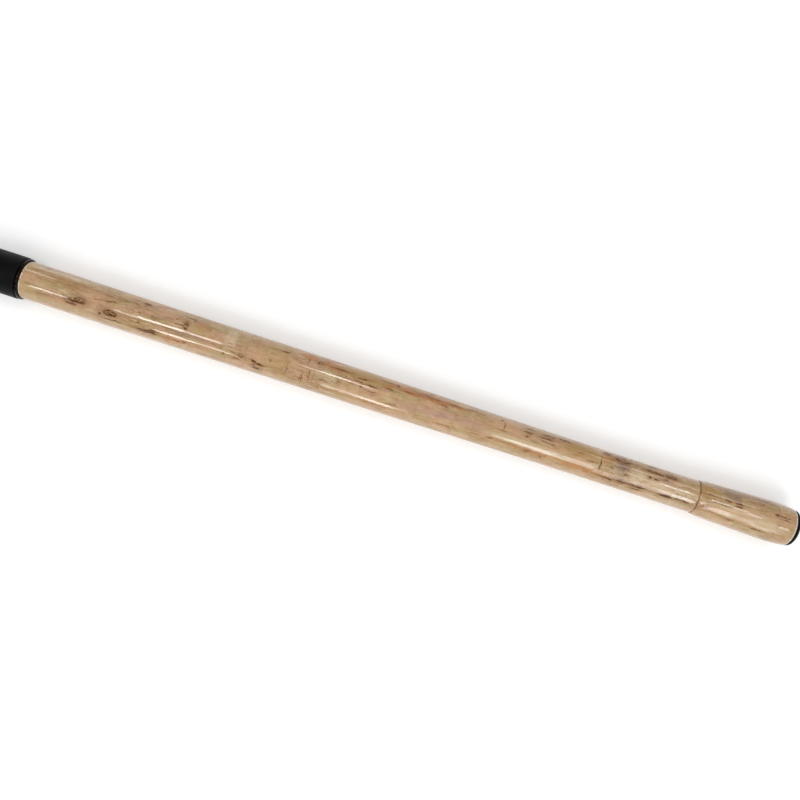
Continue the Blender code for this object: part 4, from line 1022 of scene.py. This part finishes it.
def pocket(deep_end, mouth):
    """The hollow that takes one end of a reel's foot. It runs on past the hood's mouth."""
    past = mouth + copysign(CUT_PAST, mouth - deep_end)
    return grid_mesh([arch(x, POCKET_WIDTH / 2, POCKET_CEILING, BED_HEIGHT, POCKET_ROUND)
                      for x in (deep_end, past)])


def thread_depth(x, angles):
    """How deep the seat's thread is cut at a place: a rounded trapezium that runs in and out."""
    if x < THREAD_REAR:
        return 0.0
    running = min(1.0, (x - THREAD_REAR) / THREAD_PITCH, (SEAT_FRONT - x) / THREAD_PITCH)
    away = abs((x / THREAD_PITCH - angles / (2 * pi)) % 1.0 - 0.5) * 2
    return THREAD_DEPTH * max(0.0, running) * ease(0.0, 1.0, (0.80 - away) / 0.55)


def reel_seat_body():
    """Barrel with its fixed rear hood, a flat bed for the reel's foot, a keyway and a thread."""
    ring_end = SEAT_REAR + HOOD_RING_LENGTH
    edge = HOOD_EDGE
    outline = rounded([(SEAT_REAR, SEAT_BORE_R), (SEAT_REAR, HOOD_R), (ring_end - edge, HOOD_R),
                       (ring_end, BARREL_R + edge * 0.6), (ring_end + edge, BARREL_R)],
                      [0.0, edge, edge * 1.6, 0.0003, 0.0003], 5)
    count = round((SEAT_FRONT - THREAD_REAR) / THREAD_PITCH * 8)
    for index in range(count):
        outline.append((lerp(THREAD_REAR, SEAT_FRONT - edge, index / count), BARREL_R))
    outline += [(SEAT_FRONT - edge, BARREL_R), (SEAT_FRONT, BARREL_R - edge), (SEAT_FRONT, SEAT_BORE_R)]

    def threaded(x, radius, angles):
        return radius - thread_depth(x, angles) if radius > SEAT_BORE_R + 0.001 else radius

    bed = block((ring_end + edge, -BARREL_R, BED_HEIGHT), (BED_FRONT, BARREL_R, BARREL_R + CUT_PAST))
    core = rod_cutter(SEAT_REAR - CUT_PAST, HOOD_MOUTH + CUT_PAST, SEAT_BORE_R + BARREL_WALL / 2)
    boss = solid(hood_boss(ring_end, HOOD_MOUTH), ("DIFFERENCE", core))
    key = block((ring_end + KEYWAY_START, -KEYWAY_WIDTH / 2, -BARREL_R - CUT_PAST),
                (SEAT_FRONT + CUT_PAST, KEYWAY_WIDTH / 2, -BARREL_R + KEYWAY_DEPTH))
    mesh = solid(turned_mesh(outline, 128, radius_at=threaded), ("DIFFERENCE", bed), ("UNION", boss),
                 ("DIFFERENCE", pocket(HOOD_MOUTH - POCKET_DEPTH, HOOD_MOUTH)), ("DIFFERENCE", key))
    piece("reel_seat_body", mesh, "reel_seat", smooth=32)


def sliding_hood():
    """The moving hood: a ring round the barrel, its pocket to the rear, and a key in the keyway."""
    bore_r = BARREL_R + SLIDE_GAP
    outer_r = bore_r + SLIDING_HOOD_WALL
    core_r = bore_r * 0.5
    rear, front = SLIDING_HOOD_FRONT - SLIDING_RING_LENGTH, SLIDING_HOOD_FRONT
    outline = sleeve(rear, front, core_r, outer_r, HOOD_EDGE * 1.3, 5)
    key_half = KEYWAY_WIDTH / 2 - SLIDE_GAP
    key = block((rear + KEY_INSET, -key_half, -bore_r - SLIDING_HOOD_WALL / 2),
                (front - KEY_INSET, key_half, -BARREL_R + KEYWAY_DEPTH - SLIDE_GAP))
    mesh = solid(turned_mesh(outline, 128), ("UNION", hood_boss(rear, SLIDING_MOUTH)),
                 ("DIFFERENCE", pocket(SLIDING_MOUTH + POCKET_DEPTH, SLIDING_MOUTH)),
                 ("DIFFERENCE", rod_cutter(SLIDING_MOUTH - CUT_PAST, front + CUT_PAST, bore_r, 128)),
                 ("UNION", key))
    piece("sliding_hood", mesh, "reel_seat", "sliding_hood", 32)


def lock_nut():
    """A fluted nut with rounded rims."""
    bore_r = BARREL_R + SLIDE_GAP
    outer_r = bore_r + NUT_WALL
    bevel = NUT_BEVEL
    corners = [(NUT_REAR, bore_r + bevel), (NUT_REAR, outer_r), (NUT_FRONT, outer_r)]
    outline = rounded(corners, [0.0, NUT_EDGE, NUT_EDGE], 7)
    filled = []
    for (x, radius), (next_x, _) in zip(outline, outline[1:] + outline[-1:]):
        filled.append((x, radius))
        if next_x - x > 0.002:
            filled += [(lerp(x, next_x, index / 20), radius) for index in range(1, 20)]
    filled += [(NUT_FRONT, bore_r + bevel), (NUT_FRONT - bevel, bore_r), (NUT_REAR + bevel, bore_r)]

    def fluted(x, radius, angles):
        if radius < bore_r + NUT_WALL * 0.4:
            return radius
        wave = (0.5 + 0.5 * np.cos(NUT_FLUTES * angles)) ** 2
        run = ease(0.15, 1.0, min(x - NUT_REAR, NUT_FRONT - x) / NUT_FLUTE_RUN)
        return radius - NUT_FLUTE_DEPTH * wave * run

    piece("lock_nut", turned_mesh(filled, NUT_FLUTES * 16, radius_at=fluted), "reel_seat", "lock_nut", 35)


# Guides

Foot = namedtuple("Foot", "heel toe floor width toe_width thickness toe_thickness")


def ring_depth(ring):
    return RING_DEPTH_BASE + RING_DEPTH_SHARE * ring


def strut_r(ring):
    return STRUT_R_BASE + STRUT_R_SHARE * ring


def band_r(ring):
    """Radius of the middle of a hoop's wall, where the struts meet it."""
    return ring / 2 + GAP + FRAME_WALL / 2


def guide_foot(heel, toe, floor, ring):
    """A guide's foot, which thins and narrows from its heel, under the struts, to its toe."""
    width = FOOT_WIDTH_BASE + FOOT_WIDTH_SHARE * ring
    return Foot(heel, toe, floor, width, width * FOOT_TOE_SHARE, FOOT_THICKNESS, FOOT_TOE_THICKNESS)


def foot_at(foot, x):
    """Width and thickness of a foot at a place along it."""
    share = min(1.0, max(0.0, (x - foot.heel) / (foot.toe - foot.heel)))
    return lerp(foot.width, foot.toe_width, share), lerp(foot.thickness, foot.toe_thickness, share)


def drawn_in(most, away):
    """How much of its size a plate keeps near its end."""
    return 1 - most * (1 - min(1.0, away / PLATE_END)) ** 2


def foot_mesh(foot):
    """A tapered plate with rounded upper edges, a rounded heel and a toe ground to a slope."""
    rows = []
    for index in range(17):
        share = index / 16
        x = lerp(foot.heel, foot.toe, share)
        width, thickness = foot_at(foot, x)
        pull = drawn_in(0.35, min(share, 1 - share) * abs(foot.toe - foot.heel))
        rows.append(arch(x, width / 2 * pull, foot.floor + thickness * (0.55 + 0.45 * pull), foot.floor,
                         thickness * 0.45 * pull, 4))
    return grid_mesh(rows)


def smooth_path(points, steps=10):
    """A curve through points, with the ends kept straight."""
    found = []
    spots = [Vector(point) for point in points]
    padded = [2 * spots[0] - spots[1]] + spots + [2 * spots[-1] - spots[-2]]
    for index in range(1, len(padded) - 2):
        before, here, after, beyond = padded[index - 1:index + 3]
        for step in range(steps):
            t = step / steps
            found.append(0.5 * ((2 * here) + (after - before) * t
                                + (2 * before - 5 * here + 4 * after - beyond) * t * t
                                + (3 * here - before - 3 * after + beyond) * t ** 3))
    found.append(spots[-1])
    return found


def wire_mesh(points, radius, sides=18):
    """A round wire along a smooth curve."""
    path = smooth_path(points)
    rows = []
    across = Vector((0, 1, 0))
    for index, spot in enumerate(path):
        ahead = (path[min(index + 1, len(path) - 1)] - path[max(index - 1, 0)]).normalized()
        across = (across - ahead * across.dot(ahead)).normalized()
        up = ahead.cross(across)
        rows.append([spot + radius * (cos(2 * pi * step / sides) * across
                                      + sin(2 * pi * step / sides) * up)
                     for step in range(sides)])
    return grid_mesh(rows)


def hoop_mesh(x, height, ring):
    """The hoop that holds a ceramic ring, with rolled edges."""
    half = ring_depth(ring) / 2 - FRAME_LIP
    outline = sleeve(x - half, x + half, ring / 2 + GAP, frame_outer_r(ring), FRAME_WALL * 0.6, 4)
    return turned_mesh(outline, 96, height)


def ceramic_mesh(x, height, ring):
    """The ring that the line runs over: an oval section, flatter on the hoop's side."""
    outer_r = ring / 2
    middle = (outer_r + outer_r * RING_BORE_SHARE) / 2
    outline = []
    for index in range(28):
        angle = 2 * pi * index / 28
        sides = []
        for share in (cos(angle), sin(angle)):
            sides.append(copysign(abs(share) ** 0.72, share))
        outline.append((x + ring_depth(ring) / 2 * sides[0], middle + (outer_r - middle) * sides[1]))
    return turned_mesh(outline, 112, height)


def held_ring(name, x, height, ring, body, parts):
    """Joins a hoop and the parts that carry it, reams it, and puts its ceramic ring in."""
    reach = ring_depth(ring) + 4 * strut_r(ring)
    ream = rod_cutter(x - reach, x + reach, ring / 2 + GAP, 96, height)
    joined = solid(hoop_mesh(x, height, ring), *(("UNION", part) for part in parts), ("DIFFERENCE", ream))
    piece(name + "_frame", joined, "guide_frame", body, 34)
    piece(name + "_ceramic_ring", ceramic_mesh(x, height, ring), "guide_ring", body, 60)


def taut_skin(angles, bore, half, top):
    """Polar outline of a taut skin over the blank and a plate's two upper corners."""
    reach = hypot(half, top)
    if reach <= bore * 1.0005:
        return np.full(len(angles), bore)
    corner = atan2(half, top)
    touch = corner + acos(bore / reach)
    side = bore / np.maximum(0.2, np.cos(np.clip(touch - angles, -1.3, 1.3)))
    flat = top / np.maximum(0.2, np.cos(np.clip(angles, 0.0, 1.3)))
    found = np.where(angles < corner, flat, np.where(angles < touch, side, bore))
    kernel = np.hanning(41)
    return np.convolve(np.concatenate([found[-20:], found, found[:20]]), kernel / kernel.sum(), "valid")


def foot_whipping(name, foot, body, bare=FOOT_BARE):
    """Thread over a foot and round the blank: a taut skin over the two, under varnish."""
    bore = foot.floor
    steps = 90
    fine = 720
    turn = np.minimum(full_turn(fine), 2 * pi - full_turn(fine))
    outwards = copysign(1.0, foot.toe - foot.heel)
    rear, front = sorted((foot.heel + outwards * bare, foot.toe + outwards * WHIP_PAST_TOE))
    outer, inner = [], []
    for index in range(45):
        x = lerp(rear, front, index / 44)
        width, thickness = foot_at(foot, x)
        half = width / 2 + GAP
        beyond = (x - foot.toe) * outwards
        rise = ease(1.0, 0.0, beyond / WHIP_HUMP_END)
        top = bore + thickness * rise
        full = ease(WHIP_END_SHARE, 1.0, min(x - rear, front - x) / WHIP_TAPER)
        skin = taut_skin(turn, bore, half, top + GAP * rise)
        room = np.full(fine, bore)
        if beyond < GAP:
            room = np.minimum((top + GAP) / np.maximum(0.05, np.cos(np.clip(turn, 0, 1.5))),
                              half / np.maximum(0.05, np.sin(turn)))
            room = np.where(turn < pi / 2, np.maximum(room, bore), bore)
            room = np.minimum(room, skin + WHIP_THICKNESS * 0.2)
        outer.append(loop(x, skin[::fine // steps] + WHIP_THICKNESS * full, steps))
        inner.append(loop(x, room[::fine // steps], steps))
    piece(name, grid_mesh(outer + inner[::-1], wrap=True), "whipping", body, 50)


def guide(name, x, ring, radius_at, body):
    """One guide: a hoop on wire struts with its feet, its ceramic ring, and the whippings."""
    wire_r = strut_r(ring)
    length = FOOT_LENGTH_BASE + FOOT_LENGTH_SHARE * ring
    heel = x - LEAN_SHARE * ring
    blank_r = radius_at(heel - length)
    floor = blank_r + GAP
    height = guide_height(ring, blank_r)
    strut_floor = floor + wire_r + 0.0001
    feet = [guide_foot(heel, heel - length, floor, ring)]
    parts = [foot_mesh(feet[0])]
    for side in (1, -1):
        start = (heel - STRUT_START, side * (wire_r + 0.00015), strut_floor)
        end = (x, side * band_r(ring) * sin(FLANK_ANGLE), height - band_r(ring) * cos(FLANK_ANGLE))
        points = [start]
        for along, spread, rise in ((0.12, 0.02, 0.05), (0.62, 0.62, 0.55), (1.0, 1.0, 1.0)):
            points.append((lerp(heel, x, along), lerp(start[1], end[1], spread),
                           lerp(start[2], end[2], rise)))
        parts.append(wire_mesh(points, wire_r))
    if ring >= DOUBLE_FOOT_FROM:
        brace = BRACE_SHARE * ring
        heel = x + brace
        feet.append(guide_foot(heel, heel + length, floor, ring))
        parts.append(foot_mesh(feet[1]))
        parts.append(wire_mesh([(heel + STRUT_START, 0, strut_floor),
                                (heel - brace * 0.15, 0, strut_floor + 0.0007),
                                (x, 0, height - band_r(ring))], wire_r))
    held_ring(name, x, height, ring, body, parts)
    for foot, word in zip(feet, ("rear", "front")):
        foot_whipping(f"{name}_{word}_whipping", foot, body)


def tip_ring():
    """A small guide on a tube that is glued over the tip of the blank."""
    front = TIP_TUBE_FRONT
    rear = front - TIP_TUBE_LENGTH
    bore_r = tip_blank_r(rear) + GAP
    outer_r = bore_r + TIP_TUBE_WALL
    edge = TIP_TUBE_EDGE
    x = front + TIP_RING_LEAN
    height = outer_r + TIP_RING_RISE + frame_outer_r(TIP_RING)
    outline = [(front, 0.0)]
    for index in range(6):
        angle = pi / 2 * index / 5
        outline.append((front - edge * (1 - cos(angle)), outer_r - edge * (1 - sin(angle))))
    outline += [(rear + edge / 2, outer_r), (rear, outer_r - edge / 2), (rear, bore_r),
                (front - TIP_TUBE_END, bore_r), (front - TIP_TUBE_END, 0.0)]
    parts = [turned_mesh(outline, 48)]
    flank_y = band_r(TIP_RING) * sin(TIP_FLANK_ANGLE)
    flank_z = height - band_r(TIP_RING) * cos(TIP_FLANK_ANGLE)
    for side in (1, -1):
        points = [(front - 0.0060, side * 0.0008, outer_r + 0.0001),
                  (front - 0.0020, side * 0.0012, outer_r + 0.0004), (x, side * flank_y, flank_z)]
        parts.append(wire_mesh(points, strut_r(TIP_RING)))
    held_ring("tip_ring", x, height, TIP_RING, "tip_section", parts)
    whip_rear = rear - GAP - TIP_WHIP_LENGTH
    plain_whipping("tip_ring_whipping", whip_rear, rear - GAP, tip_blank_r(whip_rear), "tip_section")


def line_clip():
    """A sprung strip with rounded edges that lies on the blank, its rear end under a whipping."""
    floor = butt_blank_r(CLIP_REAR) + GAP
    front = CLIP_REAR + CLIP_LENGTH
    bend = CLIP_REAR + CLIP_FOOT_LENGTH
    centre = [(CLIP_REAR, 0, 0.0), (bend, 0, 0.0), (lerp(bend, front, 0.25), 0, CLIP_LIFT),
              (lerp(bend, front, 0.55), 0, CLIP_LIFT), (lerp(bend, front, 0.85), 0, 0.0001),
              (front, 0, CLIP_END_LIFT)]
    rows = []
    for spot in smooth_path(centre, 9):
        low = floor + max(spot.z, 0.0)
        half = CLIP_WIDTH / 2 * drawn_in(0.45, min(spot.x - CLIP_REAR, front - spot.x))
        rows.append(arch(spot.x, half, low + CLIP_THICKNESS, low, CLIP_THICKNESS * 0.4, 3))
    piece("line_clip", grid_mesh(rows), "line_clip")
    foot = Foot(bend, CLIP_REAR, floor, CLIP_WIDTH, CLIP_WIDTH, CLIP_THICKNESS, CLIP_THICKNESS)
    foot_whipping("line_clip_whipping", foot, "butt_section", FOOT_BARE / 2)


def make_rod():
    cork_sleeves("swell_cork_ring_{}", CORK_REAR, SWELL_RINGS, 1, SWELL_RING_WIDTH, swell_r, CORK_EDGE, 31.5)
    cork_sleeves("grip_cork_rings_{:02d}", GRIP_REAR, GRIP_SECTIONS, RINGS_PER_SECTION, GRIP_RING_WIDTH,
                 grip_r, CORK_EDGE / 2, 7.5)
    butt_cap()
    seat_trims()
    reel_seat_body()
    sliding_hood()
    lock_nut()
    blanks()
    plain_whipping("handle_whipping", FRONT_WHIP_REAR, FRONT_WHIP_REAR + FRONT_WHIP_LENGTH,
                   butt_blank_r(FRONT_WHIP_REAR))
    plain_whipping("ferrule_whipping", FERRULE_X, FERRULE_X + FERRULE_WHIP_LENGTH, tip_blank_r(FERRULE_X),
                   "tip_section")
    line_clip()
    guide("butt_guide", BUTT_GUIDE_X, BUTT_RING, butt_blank_r, "butt_section")
    for index, (x, ring) in enumerate(zip(guide_places(), TIP_SECTION_RINGS)):
        guide(f"guide_{index + 2}", x, ring, tip_blank_r, "tip_section")
    tip_ring()
    arbor = arbor_finish()
    for name in ("rear_seat_arbor", "front_seat_arbor"):
        for held in frame["nodes"][name].material_slots:
            held.material = arbor


# Floor, camera and light

# Where the film mirrors a lamp to the camera: the front and rear end of the glint and how far across
# it lies, placed as the marks are, then the lamp's width in m and its strength
GLINTS = (
    (-6.3, 16.4, -6.4, 0.2, 2.3), (1.7, 27.2, 3.1, 0.22, 6.6), (60.4, 76.4, 0.5, 0.2, 3.5),
    (76.4, 111, 0, 0.26, 8.6), (113.1, 135.1, 0.2, 0.2, 6), (90.5, 120.4, 5.6, 0.2, 7.8),
    (120.4, 145.1, 5.3, 0.2, 4.2), (190.5, 205.1, -2, 0.2, 3.5), (205.1, 225.2, -2, 0.22, 8.6),
    (225.2, 240.5, -2, 0.2, 4.6), (207.1, 231.8, 5.8, 0.2, 3), (231.8, 256.5, 5.9, 0.2, 6.2),
    (256.5, 269.8, 5.7, 0.2, 1.8), (327.2, 335.2, 2.8, 0.24, 2.4), (335.2, 369.9, 2.7, 0.26, 4.6),
    (369.9, 396.6, 2.5, 0.34, 2.8), (398.6, 450.6, 3.8, 0.56, 2.3), (450.6, 468.6, 3.8, 0.5, 1.3),
    (444, 453, -1.3, 0.22, 6), (453, 466.3, -1.3, 0.22, 3.6), (468.6, 479.3, 3.7, 0.34, 2.6),
    (492, 501, -1.3, 0.26, 3), (501, 511.5, -0.2, 0.28, 3.2), (490.6, 508, 4.5, 0.34, 1.7),
    (508, 528, 5.6, 0.36, 1.8), (468.6, 508.6, -5.5, 0.2, 1.3), (528.6, 536, 2.2, 0.25, 2.6),
)
LAMP_FAR = 1.3
GLINT_POWER = 1.7
# Broad lamps over the rod: name, angle from straight up towards the guides' side, width, radiance
SOFT_LAMPS = (("soft_key", 40, 1.3, 0.71), ("soft_fill", -42, 1.2, 0.49))
SOFT_LAMP_X = 0.9
SOFT_LAMP_FAR = 2.4
SOFT_LAMP_LENGTH = 4.6
FLOOR_REACH = 9.0
FLOOR_GLOW = 0.16
FAR_FLOOR_GLOW = 0.55
FLOOR_GLOW_REACH = (0.5, 3.2)
SKY_LIGHT = 0.50
SKY_OVERHEAD = 0.10
SKY_WHITE_BELOW = -0.02
SKY_DARK_ABOVE = 0.22


def floor():
    """A pale floor, which is brighter where the camera or a reflection sees it, and glows far off."""
    mesh = bpy.data.meshes.new("floor")
    corners = [(x * FLOOR_REACH, y * FLOOR_REACH, FLOOR_Z) for x, y in ((-1, -1), (1, -1), (1, 1), (-1, 1))]
    mesh.from_pydata(corners, [], [(0, 1, 2, 3)])
    placed("floor", mesh)
    white = Finish("floor_white", 0.9, specular=0.0)
    grain = white.noise(30, 3)
    path = white.add("LightPath")
    seen = white.larger(path["Is Camera Ray"], path["Is Glossy Ray"])
    seen = white.larger(seen, path["Is Transmission Ray"])
    plain = white.mix(grain, (0.80, 0.80, 0.80), (0.82, 0.82, 0.82))
    bright = white.mix(grain, (0.935, 0.935, 0.935), (0.955, 0.955, 0.955))
    white.feed(white.shader["Emission Color"], (1.0, 1.0, 1.0))
    distance = white.vector("LENGTH", white.vector("ADD", white.place, (-EYE_X, 0.0, 0.0)))
    glow = white.ramp(distance, *FLOOR_GLOW_REACH, FLOOR_GLOW, FAR_FLOOR_GLOW)
    white.feed(white.shader["Emission Strength"], white.times(seen, glow))
    mesh.materials.append(white.done(white.mix(seen, plain, bright)))


def world():
    """Plain light from all round. Mirrored, it is white low down and dark overhead, as a studio is."""
    made = bpy.data.worlds.new("studio")
    bpy.context.scene.world = made
    sky = Nodes(made)
    path = sky.add("LightPath")
    upwards = sky.parts(sky.add("TexCoord")["Generated"])[2]
    mirrored = sky.ramp(upwards, SKY_WHITE_BELOW, SKY_DARK_ABOVE, 1.0, SKY_OVERHEAD)
    passing = sky.larger(path["Is Glossy Ray"], path["Is Transmission Ray"])
    level = sky.add("Mix", {0: passing, 2: SKY_LIGHT, 3: mirrored})[0]
    level = sky.add("Mix", {0: path["Is Camera Ray"], 2: level, 3: 1.0})[0]
    background = sky.tree.nodes["Background"].inputs
    sky.feed(background["Color"], (1.0, 1.0, 1.0))
    sky.feed(background["Strength"], level)


def area_lamp(name, place, target, size_x, size_y, radiance, mirrored=True):
    """A rectangular lamp whose first side stays level along the rod."""
    lamp = bpy.data.lights.new(name, "AREA")
    lamp.shape = "RECTANGLE"
    lamp.size = size_x
    lamp.size_y = size_y
    lamp.energy = radiance * pi * size_x * size_y
    away = (Vector(place) - Vector(target)).normalized()
    along = Vector((1, 0, 0))
    along = (along - away * along.dot(away)).normalized()
    turned = Matrix((along, away.cross(along), away)).transposed().to_4x4()
    turned.translation = place
    made = placed(name, lamp)
    made.matrix_world = turned
    made.visible_camera = False
    made.visible_glossy = mirrored


def glint_lamps():
    """Long narrow lamps beside each other, each where the film mirrors it to the camera."""
    step = 0.002
    for index, (glint_front, glint_rear, across, width, strength) in enumerate(GLINTS):
        ends = []
        for behind in (glint_front, glint_rear):
            x, y, z = seen_place(behind, across)
            angle = 2 * atan2(y, z) - atan2(EYE_Y - y, EYE_HEIGHT - z)
            tilt = (handle_r(x - step) - handle_r(x + step)) / (2 * step)
            slope = (x - EYE_X) / hypot(EYE_Y - y, EYE_HEIGHT - z) + 2 * tilt
            ends.append(Vector((x + slope * LAMP_FAR, y + LAMP_FAR * sin(angle),
                                z + LAMP_FAR * cos(angle))))
        middle = (ends[0] + ends[1]) / 2
        area_lamp(f"strip_{index}", middle, (middle.x, y, z), abs(ends[0].x - ends[1].x), width,
                  strength * GLINT_POWER)


def studio():
    floor()
    world()
    glint_lamps()
    for name, degrees, width, radiance in SOFT_LAMPS:
        angle = radians(degrees)
        place = (SOFT_LAMP_X, SOFT_LAMP_FAR * sin(angle), SOFT_LAMP_FAR * cos(angle))
        area_lamp(name, place, (SOFT_LAMP_X, 0, 0), SOFT_LAMP_LENGTH, width, radiance, mirrored=False)
    eye = bpy.data.cameras.new("camera")
    eye.sensor_width = SENSOR_WIDTH
    eye.lens = EYE_LENS
    eye.clip_start = 0.01
    eye.clip_end = 100.0
    made = placed("camera", eye)
    made.location = (EYE_X, EYE_Y, EYE_HEIGHT)
    made.rotation_euler = (0.0, 0.0, pi + ROD_SLOPE)
    bpy.context.scene.camera = made
    bpy.context.scene.view_settings.view_transform = "Standard"


make_rod()
studio()
